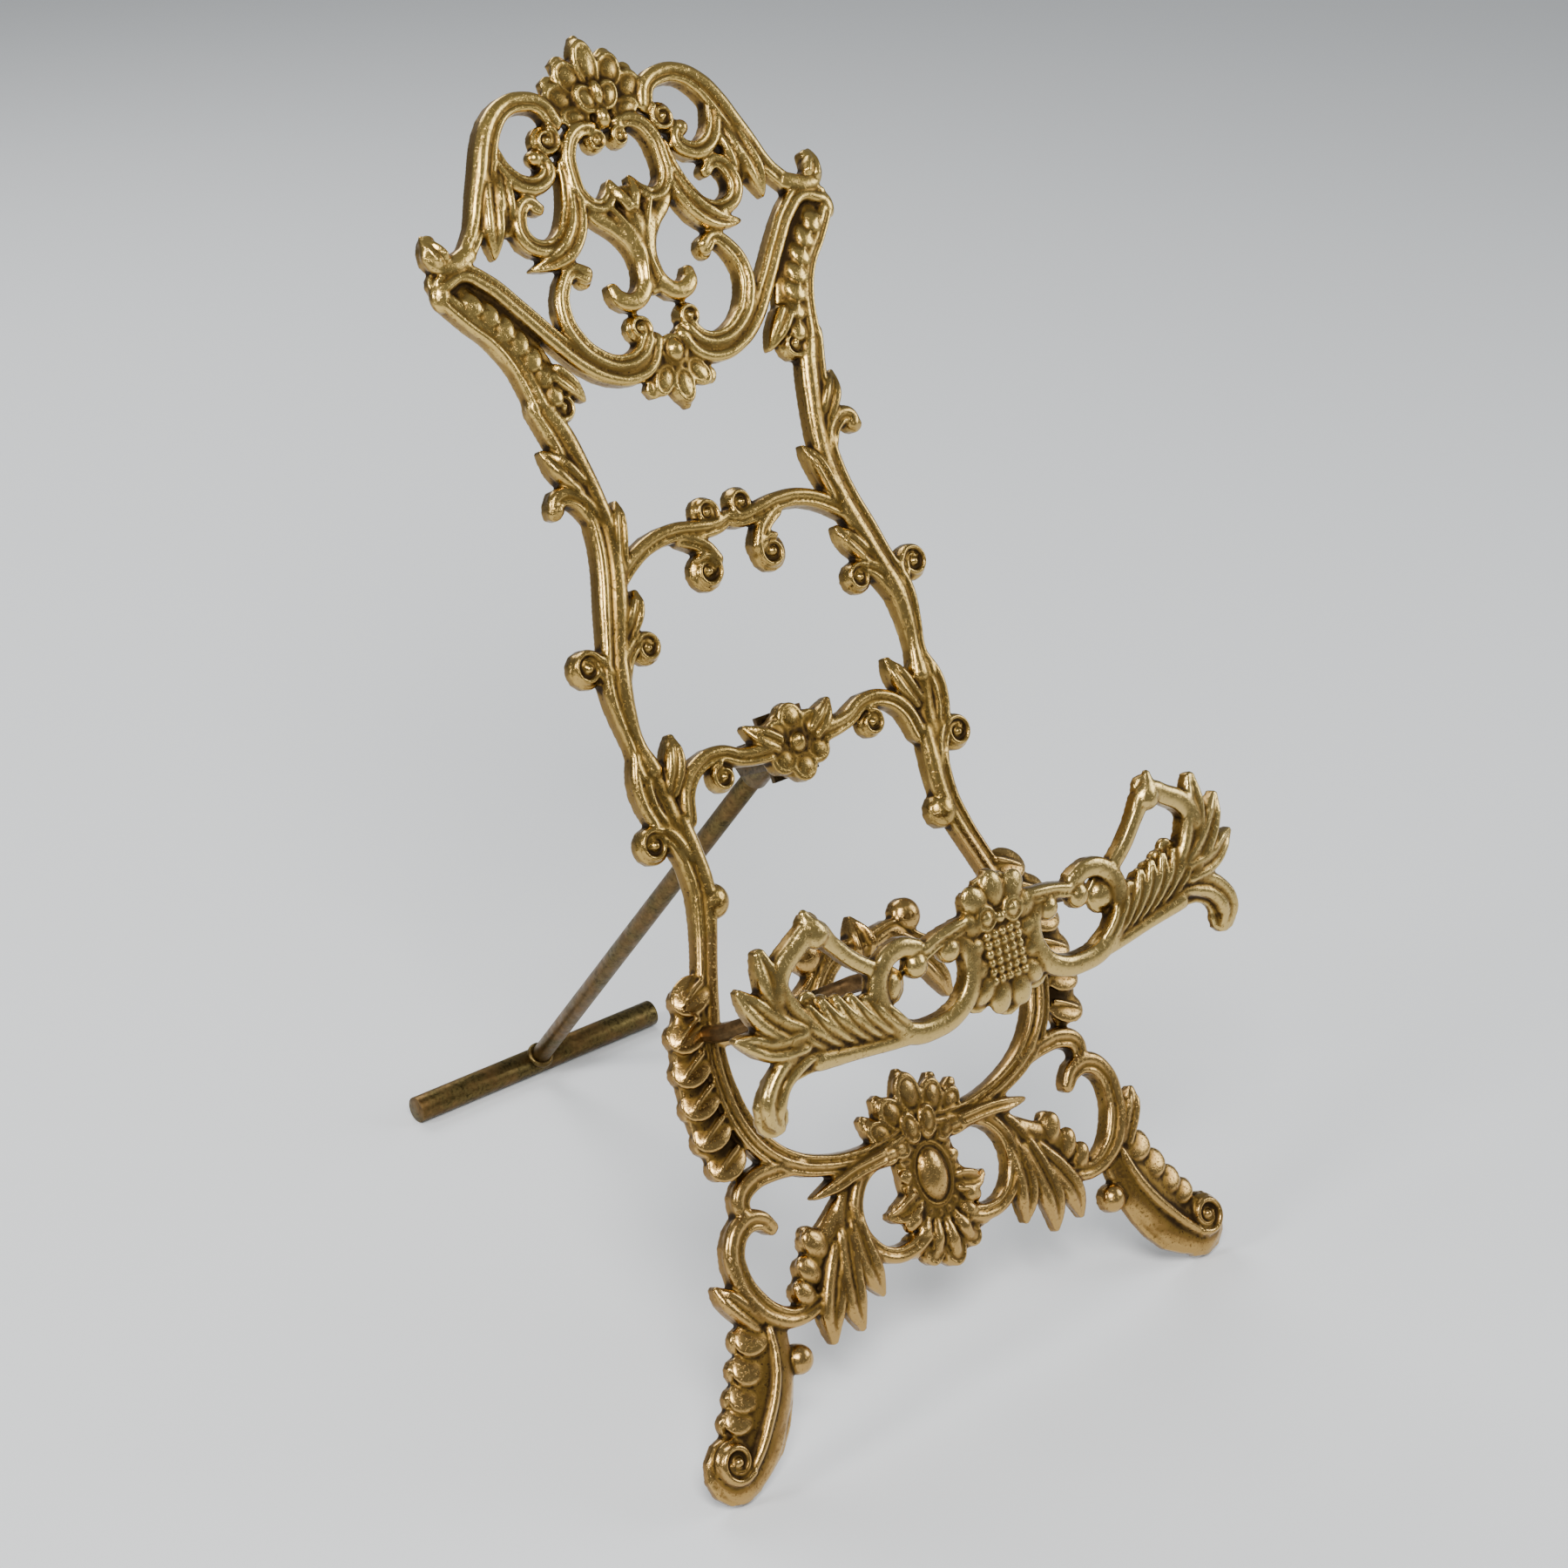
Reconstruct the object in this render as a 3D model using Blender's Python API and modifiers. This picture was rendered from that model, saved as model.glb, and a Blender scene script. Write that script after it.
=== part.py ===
"""Rococo cast-brass stand for a photo album: a leaning openwork frame with two scroll feet,
a pierced gallery carried on two rods as the album's ledge, and a hinged rear strut with a T bar.

Metres, +Z up, the front faces -Y.  The ornament is drawn in millimetres in the plane of each
casting: x to the right, v up the plate, and a half width at each point.  Only the right half is
drawn; the castings are mirrored.
"""
from math import acos, atan2, cos, pi, radians, sin

import bmesh
import bpy
from mathutils import Matrix, Vector

MM = 0.001

# ---- driving dimensions, mm and degrees -------------------------------------------------------
LEAN = 27.5                # the frame leans back this far from upright
PLATE = 5.0                # thickness of the frame casting, behind its front plane
GALLERY_V = 105.0          # height of the gallery's own origin up the frame
GALLERY_W = 51.3           # how far the gallery stands in front of the frame's front plane
GALLERY_TILT = 10.6        # its top tips this far towards the viewer
GALLERY_PLATE = 4.0
ARM_RADIUS = 2.1           # the two ledge rods
ARM_X, ARM_V = 49.5, 103.0             # where a rod enters the frame
ARM_END_X, ARM_END_V = 33.0, 0.0       # where it enters the gallery, in the gallery's plane
PIN_V, PIN_W = 158.0, -10.8            # the strut's hinge axis, behind the rosette
PIN_RADIUS = 1.5
STRUT_LENGTH = 169.0       # hinge axis to the axis of the T bar
STRUT_RADIUS = 2.6
FOOT_RADIUS = 3.6
FOOT_LENGTH = 80.6
FOOT_SEAT = 2.2            # how deep the rod sits in the T bar
GAP = 0.3                  # clearance between two pieces that touch
RUNNING_GAP = 0.1          # clearance of the hinge pin in the strut's eye
SCREW_RADIUS, SCREW_HEAD_RADIUS, SCREW_HEAD = 1.3, 3.2, 1.6    # the screws that hold the ledge rods
SCREW_REACH = 5.0          # how far a screw runs into its rod
ARM_SOCKET = 1.6           # depth of the sockets that the rods' ends sit in
BRACKET_WIDTH, BRACKET_HEIGHT, BRACKET_SHEET = 13.6, 16.0, 1.4
BRACKET_V = 158.8          # height of the middle of the bracket's base plate
LUG_ROOT = 4.0             # half the height of a lug where it leaves the base plate
LUG_GAP = 8.6              # between the two lugs of the hinge bracket
LUG_RADIUS = 3.6
EYE_RADIUS, EYE_WIDTH = 3.0, 8.0
COLLAR_RADIUS, COLLAR_START, COLLAR_END = 3.5, 1.0, 13.0       # along the strut from the hinge axis
STOP_ALONG = 7.5           # the bracket's stop bears on the open strut this far from the hinge axis
RIVET_RADIUS, RIVET_HEAD = 1.0, 1.0
RIVET_X, RIVET_V, RIVET_DEPTH = 3.2, 164.4, 2.6                # where each rivet stands, and how deep
CURVE_STEPS = 2            # samples on each span of a drawn line
ROUND_SIDES = 12
FLAT_ANGLE = 0.5           # faces closer to one plane than this are made one

# ---- the frame's drawn lines: (x, v, half width) ----------------------------------------------
CREST = {
    "lyre_band": [(3.5, 308.6, 1.7), (8.0, 308.6, 2.0), (11.8, 305, 2.1), (13, 299, 2.1),
                  (12.2, 293.6, 2.1), (8.2, 290.6, 2.0), (4.8, 292, 1.9), (3.0, 295.4, 1.0)],
    "vase_band": [(12.8, 293.6, 1.9), (9.6, 288.4, 2.1), (5.2, 284.6, 2.2), (2.2, 280, 2.2),
                  (1.4, 275, 2.2), (3, 269.8, 2.3), (7, 267.6, 2.3), (10.4, 269.2, 2.2), (11.2, 271.6, 1.6)],
    "vase_heart": [(0, 292, 2.6), (0, 286, 2.4), (0, 270, 2.2)],
    "scroll_band": [(6.4, 258.6, 2.2), (9.4, 255.6, 2.1), (14.5, 254.6, 2.1), (20.5, 257, 2.2),
                    (25.2, 262.5, 2.3), (26.6, 269, 2.2), (24.3, 275, 2.0), (20.6, 277.8, 1.9),
                    (17.6, 276.2, 2.2)],
    "shoulder_rim": [(55.6, 281.6, 2.4), (50, 283.2, 2.4), (44.6, 280, 2.4), (38, 272.4, 2.4),
                     (31.6, 264.2, 2.4), (25, 256.6, 2.4), (19, 252.6, 2.3), (12.6, 251.2, 2.2),
                     (7.4, 253, 2.2), (4.2, 258, 2.2)],
    "outer_arch": [(46.8, 286.8, 2.2), (42.6, 291.6, 2.3), (38.8, 298.6, 2.8), (35.8, 304, 3.1),
                   (33.4, 309, 3.1), (30, 314, 2.9), (25.4, 317.2, 2.6), (20, 317.8, 2.5),
                   (15.4, 316, 2.4), (13.2, 311.6, 2.3)],
    "arch_hook": [(31.8, 308, 1.9), (30.4, 303, 2.3), (26.6, 299.2, 2.5), (21.8, 298.9, 2.4),
                  (19, 301.8, 2.2), (20.8, 305, 1.7)],
    "loop_band": [(24.4, 293.2, 1.6), (27.6, 295.2, 2.0), (31, 291.4, 2.2), (30.6, 286.8, 2.3),
                  (26.4, 284.2, 2.2), (21.4, 285.4, 2.0), (17.8, 290, 1.9), (15.6, 296, 1.7), (14.6, 302, 1.5)],
    "horn": [(55.4, 291.6, 1.7), (56, 287.8, 2.5), (52.4, 285.2, 2.6), (46.6, 286.8, 2.3)],
    "arch_leaf": [(34.4, 304, 1.8), (36.6, 297, 2.7), (38.4, 290, 2.7), (39.5, 284.6, 0.5)],
    "inner_leaf": [(32, 302, 1.8), (33.4, 295.5, 2.6), (34.4, 289.4, 0.8)],
    "side_leaf": [(13.6, 300, 1.4), (14.8, 291.5, 2.5), (18.4, 284.8, 3.1), (23.6, 281.3, 2.6), (30.8, 280.2, 0.4)],
    "shoulder_panel": [(52.6, 277.4, 4.4), (46, 271.4, 5.2), (41, 263.6, 5.4), (37.6, 256, 5.0), (36, 250, 3.6)],
    "shoulder_edge": [(55.4, 277.6, 2.2), (51, 272, 2.2), (46.2, 266.6, 2.2), (42.6, 259, 2.2), (40.6, 250, 2.4)],
    "shoulder_leaf": [(34, 256, 2.6), (30.4, 252, 2.2), (27.8, 248.8, 0.6)],
    "drop_petal": [(0, 252, 3.2), (0, 246, 4.0), (0, 241.4, 1.0)],
    "drop_side": [(2, 251, 2.4), (5.4, 248.6, 3.0), (8.2, 247, 2.4)],
}
CREST_DISCS = {
    "lyre_ball": (3.5, 305.6, 2.9), "vase_ball": (7.4, 261.4, 3.5), "arch_rosette": (16.9, 308, 3.9),
    "scroll_tip": (17.8, 275.4, 2.3), "shoulder_curl": (34.6, 248.6, 4.0), "horn_foot": (55.4, 282, 3.2),
    "drop_boss": (0, 254, 4.2),
}
FINIAL = {
    "tall_petal": [(0, 312, 3.4), (0, 322, 3.3), (0, 327, 2.8), (0, 329.6, 1.2)],
    "second_petal": [(2, 316, 2.6), (4.6, 321.5, 3.0), (6.6, 324.4, 2.4)],
    "third_petal": [(4, 313.5, 2.6), (9, 317.6, 3.0), (11, 320.4, 2.3)],
    "low_leaf": [(1, 310.4, 2.4), (7, 312.6, 2.6), (12, 314, 2.4)],
}
STILE = {
    "upper_stile": [(40.8, 250, 3.2), (38.2, 243, 3.8), (36.3, 235, 3.8), (34.6, 226, 3.6), (34.3, 218, 3.8),
                    (35.6, 210, 3.9), (38.3, 201, 4.0), (41, 193, 3.6), (43.4, 185, 4.0), (43.8, 177, 3.2),
                    (43.2, 170, 2.6), (42.6, 164, 3.8)],
    "high_leaf": [(35, 228, 1.8), (38.2, 232, 2.9), (41.2, 236.4, 2.8), (43.4, 239.8, 0.8)],
    "lobe_hook": [(34.4, 216, 2.0), (35.8, 223, 2.4), (39.2, 228, 2.5), (43.4, 228.8, 2.4), (45.2, 226, 2.0)],
    "inner_thorn": [(32.6, 210, 1.6), (30.8, 217, 2.1), (29.2, 222, 1.7), (28.2, 224.6, 0.5)],
    "low_thorn": [(37, 194, 1.8), (33.6, 198.4, 2.5), (31.4, 201.8, 1.9), (30.8, 203.4, 1.0)],
    "outer_neck": [(43.6, 181, 2.0), (45, 187, 2.3), (46.2, 191, 2.2)],
    "inner_neck": [(41.6, 184, 2.0), (38.8, 190, 2.4), (35, 193.2, 2.2)],
    "bulb_leaf": [(38, 158, 2.2), (35.4, 163, 2.9), (34, 167, 2.3), (33.4, 169.4, 1.0)],
    "bulb_side": [(43.6, 167, 2.4), (45.2, 162, 2.7), (45.2, 156.5, 2.6), (43.2, 150, 2.4)],
    "bulb_core": [(42.4, 165, 3.6), (40.6, 157, 3.2), (39.6, 149, 3.4)],
    "lower_stile": [(39, 150, 3.4), (38.4, 142, 3.7), (38.2, 134, 3.6), (40.2, 126, 3.2), (42.8, 118.5, 3.0),
                    (45.2, 112, 3.1), (47.6, 105, 3.2)],
    "curl_neck": [(39.6, 141, 2.2), (41.6, 147, 2.3), (44, 150, 2.0)],
}
STILE_DISCS = {
    "lobe_end": (44.6, 226.6, 2.3), "outer_volute": (49.6, 190.2, 4.7), "inner_volute": (32.4, 190.6, 4.1),
    "low_volute": (47, 147.4, 4.6), "bead": (35.8, 130.6, 4.4),
}
CROSS_RAILS = {
    "arch_rail": [(36, 205, 2.0), (30.4, 209.6, 2.2), (23.4, 213, 2.3), (15.4, 213.9, 2.4), (9, 212.9, 2.4),
                  (3.4, 212.6, 2.2), (0, 213.6, 2.0)],
    "arch_curl": [(14.6, 211.8, 1.6), (9.2, 209, 2.1), (6.6, 205, 2.1)],
    "rosette_rail": [(35.8, 150, 2.2), (33.6, 157, 2.3), (28.6, 161.2, 2.3), (22, 162, 2.2), (16.4, 159.6, 2.3),
                     (9, 158.6, 2.6)],
    "rosette_leaf": [(6, 160, 2.6), (10, 163, 2.5), (12.6, 165.4, 1.0)],
    "ledge_rail": [(0, 107, 2.6), (6.4, 108.6, 2.4), (11.6, 108.6, 2.2), (15, 105, 2.3), (20, 101.6, 2.4),
                   (28, 100.2, 2.5), (38, 100.2, 2.6), (46, 101.4, 2.8)],
    "ledge_leaf": [(7, 107.4, 2.0), (12.6, 104.4, 2.6), (17, 99, 2.9), (20.2, 93, 2.6), (21.4, 89.2, 1.4)],
    "ledge_crest": [(0, 108, 3.6), (0, 112, 2.6), (0, 114.8, 0.6)],
}
RAIL_DISCS = {
    "arch_volute": (5.2, 216.3, 3.9), "hanging_volute": (9.7, 203, 4.8), "rail_volute": (23, 156.7, 3.8),
    "rosette": (0, 158.6, 8.6), "ledge_ball": (15.8, 110.4, 4.4), "ledge_boss": (0, 107.6, 4.0),
}
ROSETTE_PETAL_RADIUS, ROSETTE_REACH = 3.6, 6.2
APRON = {
    "acanthus": [(49.8, 111, 3.4), (53.2, 104, 4.4), (55.2, 96, 4.6), (55.6, 88, 4.6), (55.2, 80, 4.5),
                 (53.4, 73, 4.0)],
    "rib_band": [(47.4, 104, 2.8), (48.6, 96, 3.0), (48.6, 88, 3.2), (47, 80, 3.3), (43.4, 73, 3.3),
                 (37.4, 67.4, 3.0), (29.6, 63.7, 2.7), (21, 61.6, 2.5), (12, 61, 2.6), (5, 62, 2.6)],
    "upper_hook": [(35, 65.8, 2.2), (43, 67.4, 2.5), (49.8, 67.2, 2.7), (53.8, 64.6, 2.6), (54.2, 61, 2.2)],
    "side_scroll": [(47.8, 55.4, 1.9), (50.4, 58.2, 2.5), (55.2, 58.8, 2.9), (59.6, 54.6, 2.9), (60.3, 48, 2.9),
                    (58.4, 41.6, 3.2), (54, 36.4, 2.9), (47.4, 33.8, 2.3), (41, 35, 2.3)],
    "knee_leaf": [(60, 37, 2.4), (63.2, 41.6, 2.8), (65.8, 45.6, 2.4), (67, 47.6, 1.1)],
    "leg": [(55.6, 36, 4.2), (59, 28, 6.6), (63, 19.8, 7.8), (68, 12.6, 8.0), (75, 8.8, 7.8)],
    "band_tip": [(13, 59.4, 2.0), (22, 59, 2.0), (28, 58, 1.8), (34, 57.2, 0.5)],
    "oval_ring": [(10, 58.6, 2.2), (17, 58.6, 2.2), (22.4, 54.4, 2.1), (24.6, 47.6, 2.1), (22.8, 41, 2.2),
                  (18, 36.9, 2.1), (12.4, 36.2, 2.2), (7, 37.8, 2.2)],
    "leaf_stem": [(20, 58, 2.2), (26.4, 53, 3.0), (29.4, 46, 3.6), (32.6, 40, 3.6)],
    "leaf_lobe_a": [(25.4, 48, 2.4), (26, 40, 2.9), (24.8, 34, 2.7), (23.4, 29.6, 0.9)],
    "leaf_lobe_b": [(29.6, 46, 2.8), (31.8, 37, 3.0), (32.6, 30, 2.7), (31.7, 24.2, 0.9)],
    "leaf_lobe_c": [(32.4, 44, 2.8), (37.2, 36.4, 3.2), (40, 30, 2.7), (40.5, 24.4, 0.9)],
    "leaf_shoulder": [(27.4, 53, 2.4), (32, 49, 3.2), (37, 46, 3.4), (42, 41, 3.0), (45.4, 37.6, 2.4)],
    "leaf_bridge": [(33, 42, 2.8), (38, 37, 2.6), (44, 34.4, 2.4)],
    "upper_petal": [(0, 60, 5.0), (0, 69, 4.6), (0, 74.6, 2.4), (0, 76.2, 1.0)],
    "upper_petal_2": [(3, 61, 3.2), (7, 67.6, 3.4), (8.6, 71.6, 1.8)],
    "upper_petal_3": [(5, 60, 3.0), (11, 64.6, 3.4), (14, 68.6, 1.6)],
    "boss_plate": [(0, 60, 8.4), (0, 50, 9.4), (0, 42, 8.6)],
    "side_petal": [(8, 46, 3.0), (12.6, 44.8, 2.4), (14.6, 45.2, 1.2)],
}
APRON_DISCS = {
    "lobe_1": (38.4, 48, 3.4), "lobe_2": (42.2, 43, 3.0), "lobe_3": (45.4, 38.6, 2.7), "lobe_tip": (38.6, 50.2, 2.1),
    "leg_bead": (51.2, 24.6, 3.7), "foot_volute": (75.8, 8.4, 8.4), "arm_boss": (ARM_X, ARM_V, 5.0),
    "low_petal_1": (0, 31.6, 4.4), "low_petal_2": (5.8, 33.4, 3.8), "low_petal_3": (10.4, 36.2, 3.2),
}
ACANTHUS_LOBES = [(52, 111.6, 3.4), (56, 104.4, 3.4), (57.6, 96.4, 3.4), (58, 88, 3.4), (57.6, 79.8, 3.4),
                  (56.2, 73, 3.2)]
LEG_SCALES = [(64.6, 34.4, 3.3), (67.6, 28.4, 3.3), (70.8, 22.8, 3.2), (74.2, 18.4, 3.0)]

# ---- the gallery's drawn lines, in its own plane ----------------------------------------------
GALLERY = {
    "shield": [(0, 9, 7.2), (0, 0, 9.2), (0, -8, 7.6)],
    "shell_top": [(0, 8, 4.6), (0, 13, 3.6), (0, 15, 1.8)],
    "shell_side": [(3, 6, 3.6), (6.4, 9.4, 3.4), (7.6, 11.6, 1.8)],
    "joining_band": [(5, 6, 2.2), (11.4, 6.4, 2.1), (18, 5.8, 1.9), (22, 4.6, 1.9)],
    "ring": [(12.6, 4.6, 2.0), (9.6, 0, 2.5), (10.6, -6.6, 2.6), (15.6, -11.4, 2.6), (23, -12.9, 2.6),
             (30.6, -11.4, 2.7), (35.6, -6.4, 2.7), (37.2, 0, 2.7), (34.6, 5.4, 2.5), (29, 7.6, 2.4),
             (24, 6, 2.2)],
    "rod_loop": [(35.6, 4.6, 1.9), (41.6, 9, 1.9), (46.8, 14.6, 2.0), (51, 19, 2.6), (57, 16.6, 2.6),
                 (62, 13, 2.8), (64.4, 8, 3.0)],
    "plume": [(28, -12, 2.4), (38, -9, 4.4), (46, -6.2, 6.0), (54, -4, 7.4), (61, -1.6, 6.6), (66, 1, 4.0)],
    "plume_leaf_1": [(58, -2, 3.6), (62.6, 5, 3.8), (65, 13, 3.4), (65.8, 18, 1.8)],
    "plume_leaf_2": [(60, -2, 3.4), (67, 3.6, 3.4), (71, 9, 2.6), (72.8, 11.8, 1.2)],
    "plume_leaf_3": [(60, -3, 3.2), (68, -2, 3.0), (73, 1, 2.2), (75.6, 2.2, 1.0)],
    "end_hook": [(56, -8.6, 2.6), (62.6, -8.8, 2.8), (68, -11, 3.6), (70.6, -15.4, 4.2)],
}
GALLERY_DISCS = {
    "ring_ball": (15, 2.6, 3.1), "hanging_ball": (25, 2.4, 3.2), "loop_knob": (51.4, 20, 3.2),
    "shell_eye": (4.6, 5.6, 3.0), "low_lobe": (0, -13.6, 4.4), "low_lobe_side": (8.8, -10.6, 4.0),
    "hook_ball": (70.2, -17, 4.4), "socket_boss": (ARM_END_X, ARM_END_V, 4.6),
}
PLUME_RIBS = [(41, -1.6), (44.6, -0.4), (48.2, 0.8), (51.8, 2.2), (55.2, 4.2)]
PLUME_RIB_RADIUS = 2.4

CUTTERS = "cutters"
BRASS = (0.50, 0.36, 0.15, 1.0)
AGED_BRONZE = (0.17, 0.125, 0.06, 1.0)


# ---- helpers ----------------------------------------------------------------------------------
def clear_scene():
    """Remove every object of the start scene and give back the parts' and cutters' collections."""
    for item in list(bpy.data.objects):
        bpy.data.objects.remove(item, do_unlink=True)
    collections = []
    for name in ("album_stand", CUTTERS):
        collection = bpy.data.collections.new(name)
        bpy.context.scene.collection.children.link(collection)
        collections.append(collection)
    return collections


def metal(name, colour, roughness):
    """A Principled metal."""
    material = bpy.data.materials.new(name)
    material.use_nodes = True
    shader = material.node_tree.nodes["Principled BSDF"]
    shader.inputs["Base Color"].default_value = colour
    shader.inputs["Metallic"].default_value = 1.0
    shader.inputs["Roughness"].default_value = roughness
    return material


def smooth_line(points, steps):
    """Catmull-Rom samples through the drawn points, whatever their number of coordinates."""
    padded = [points[0], *points, points[-1]]
    samples = []
    for a, b, c, d in zip(padded, padded[1:], padded[2:], padded[3:]):
        for step in range(steps):
            t = step / steps
            samples.append(tuple(
                0.5 * (2 * q + (r - p) * t + (2 * p - 5 * q + 4 * r - s) * t * t
                       + (3 * q - p - 3 * r + s) * t ** 3)
                for p, q, r, s in zip(a, b, c, d)))
    samples.append(tuple(points[-1]))
    return samples


def band_outline(points):
    """The closed outline of a line with a half width at each point and round ends."""
    line = smooth_line(points, CURVE_STEPS)
    left, right = [], []
    for index, (x, v, half) in enumerate(line):
        before = line[max(index - 1, 0)]
        after = line[min(index + 1, len(line) - 1)]
        heading = atan2(after[1] - before[1], after[0] - before[0])
        left.append((x - half * sin(heading), v + half * cos(heading)))
        right.append((x + half * sin(heading), v - half * cos(heading)))
    outline = list(left)
    outline += end_cap(line[-1], line[-2])
    outline += list(reversed(right))
    outline += end_cap(line[0], line[1])
    return outline


def end_cap(end, inner):
    """Two points round the end of a band, from its left side to its right."""
    heading = atan2(end[1] - inner[1], end[0] - inner[0])
    return [(end[0] + end[2] * cos(heading + turn), end[1] + end[2] * sin(heading + turn))
            for turn in (radians(35), radians(-35))]


def disc_outline(x, v, radius):
    return [(x + radius * cos(2 * pi * k / ROUND_SIDES), v + radius * sin(2 * pi * k / ROUND_SIDES))
            for k in range(ROUND_SIDES)]


def plate_mesh(outline, low, high):
    """A flat outline as a 2D curve with an extrude, made a closed mesh.  Millimetres in, metres out."""
    curve = bpy.data.curves.new("outline", "CURVE")
    curve.dimensions = "2D"
    curve.fill_mode = "BOTH"
    curve.extrude = (high - low) / 2 * MM
    spline = curve.splines.new("POLY")
    spline.points.add(len(outline) - 1)
    for point, (x, v) in zip(spline.points, outline):
        point.co = (x * MM, v * MM, 0, 1)
    spline.use_cyclic_u = True
    holder = bpy.data.objects.new("outline", curve)
    bpy.context.scene.collection.objects.link(holder)
    graph = bpy.context.evaluated_depsgraph_get()
    mesh = bpy.data.meshes.new_from_object(holder.evaluated_get(graph))
    bpy.data.objects.remove(holder, do_unlink=True)
    bpy.data.curves.remove(curve)
    mesh.transform(Matrix.Translation((0, 0, (high + low) / 2 * MM)))
    return mesh


def placed(name, mesh, collection):
    """A new object; those in the cutters' collection are never rendered."""
    item = bpy.data.objects.new(name, mesh)
    collection.objects.link(item)
    if collection.name == CUTTERS:
        item.hide_render = True
        item.display_type = "WIRE"
    return item


def joined(name, meshes, collection):
    """One object that holds all the meshes, with each closed and facing out."""
    bm = bmesh.new()
    for mesh in meshes:
        bm.from_mesh(mesh)
        bpy.data.meshes.remove(mesh)
    bmesh.ops.remove_doubles(bm, verts=bm.verts, dist=1e-6)
    bmesh.ops.recalc_face_normals(bm, faces=bm.faces)
    result = bpy.data.meshes.new(name)
    bm.to_mesh(result)
    bm.free()
    return placed(name, result, collection)


def apply_modifiers(item):
    """Bake the object's modifiers into its mesh."""
    bpy.context.view_layer.update()
    graph = bpy.context.evaluated_depsgraph_get()
    mesh = bpy.data.meshes.new_from_object(item.evaluated_get(graph))
    item.modifiers.clear()
    item.data = mesh


def boolean(item, other, operation, self_union=False):
    """Join or cut the item with the other object, which is a cutter."""
    modifier = item.modifiers.new("cut", "BOOLEAN")
    modifier.operation = operation
    modifier.object = other
    modifier.solver = "EXACT"
    modifier.use_self = self_union
    apply_modifiers(item)


def on_centre(points):
    return all(point[0] == 0 for point in points)


def drawn_meshes(lines, discs, low, high):
    """The plates of the drawn lines and discs: those of the right half, and those on the centre line."""
    paired, central = [], []
    for points in lines:
        (central if on_centre(points) else paired).append(plate_mesh(band_outline(points), low, high))
    for disc in discs:
        (central if on_centre([disc]) else paired).append(plate_mesh(disc_outline(*disc), low, high))
    return paired, central


def mirrored_plate(name, paired, central, parts, cutters):
    """Mirror the right half's plates across x = 0 and unite them with those on the centre line."""
    casting = joined(name, paired, parts)
    mirror = casting.modifiers.new("mirror", "MIRROR")
    mirror.use_axis[0] = True
    mirror.use_mirror_merge = False
    mirror.merge_threshold = 1e-5
    apply_modifiers(casting)
    boolean(casting, joined(name + "_centre", central, cutters), "UNION", self_union=True)
    return casting


def flatten(casting):
    """Make each flat stretch of a casting one face."""
    dissolve = casting.modifiers.new("flat_faces", "DECIMATE")
    dissolve.decimate_type = "DISSOLVE"
    dissolve.angle_limit = radians(FLAT_ANGLE)
    apply_modifiers(casting)


def plane_to_world():
    """From the drawn plane (x, v, w towards the viewer), in metres, to the leaning world place.

    The frame stands on the back edges of its feet, PLATE behind its front plane."""
    lean = radians(LEAN)
    x_axis = Vector((1, 0, 0))
    v_axis = Vector((0, sin(lean), cos(lean)))
    w_axis = Vector((0, -cos(lean), sin(lean)))
    turn = Matrix((x_axis, v_axis, w_axis)).transposed().to_4x4()
    return Matrix.Translation((0, 0, PLATE * sin(lean) * MM)) @ turn


def gallery_to_plane():
    """From the gallery's own plane to the frame's drawn plane."""
    return (Matrix.Translation((0, GALLERY_V * MM, GALLERY_W * MM))
            @ Matrix.Rotation(radians(GALLERY_TILT), 4, "X"))


def cylinder(name, radius, length, place, collection, sides=ROUND_SIDES * 2):
    """A closed cylinder centred on the place matrix, along its z; millimetres in."""
    bm = bmesh.new()
    bmesh.ops.create_cone(bm, cap_ends=True, segments=sides, radius1=radius * MM, radius2=radius * MM,
                          depth=length * MM, matrix=place)
    mesh = bpy.data.meshes.new(name)
    bm.to_mesh(mesh)
    bm.free()
    return placed(name, mesh, collection)


def tube_along(name, points, radius, collection, sides=3):
    """A round rod along the points (metres), as a curve with a bevel made a closed mesh."""
    curve = bpy.data.curves.new(name, "CURVE")
    curve.dimensions = "3D"
    curve.bevel_depth = radius * MM
    curve.bevel_resolution = sides
    curve.use_fill_caps = True
    spline = curve.splines.new("POLY")
    spline.points.add(len(points) - 1)
    for point, place in zip(spline.points, points):
        point.co = (*place, 1)
    holder = bpy.data.objects.new(name + "_line", curve)
    bpy.context.scene.collection.objects.link(holder)
    graph = bpy.context.evaluated_depsgraph_get()
    mesh = bpy.data.meshes.new_from_object(holder.evaluated_get(graph))
    bpy.data.objects.remove(holder, do_unlink=True)
    bpy.data.curves.remove(curve)
    return joined(name, [mesh], collection)


def box(name, size, place, collection):
    """A closed block of that size in millimetres, centred on the place matrix."""
    bm = bmesh.new()
    bmesh.ops.create_cube(bm, size=1, matrix=place @ Matrix.Diagonal((*[s * MM for s in size], 1)))
    mesh = bpy.data.meshes.new(name)
    bm.to_mesh(mesh)
    bm.free()
    return placed(name, mesh, collection)


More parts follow.
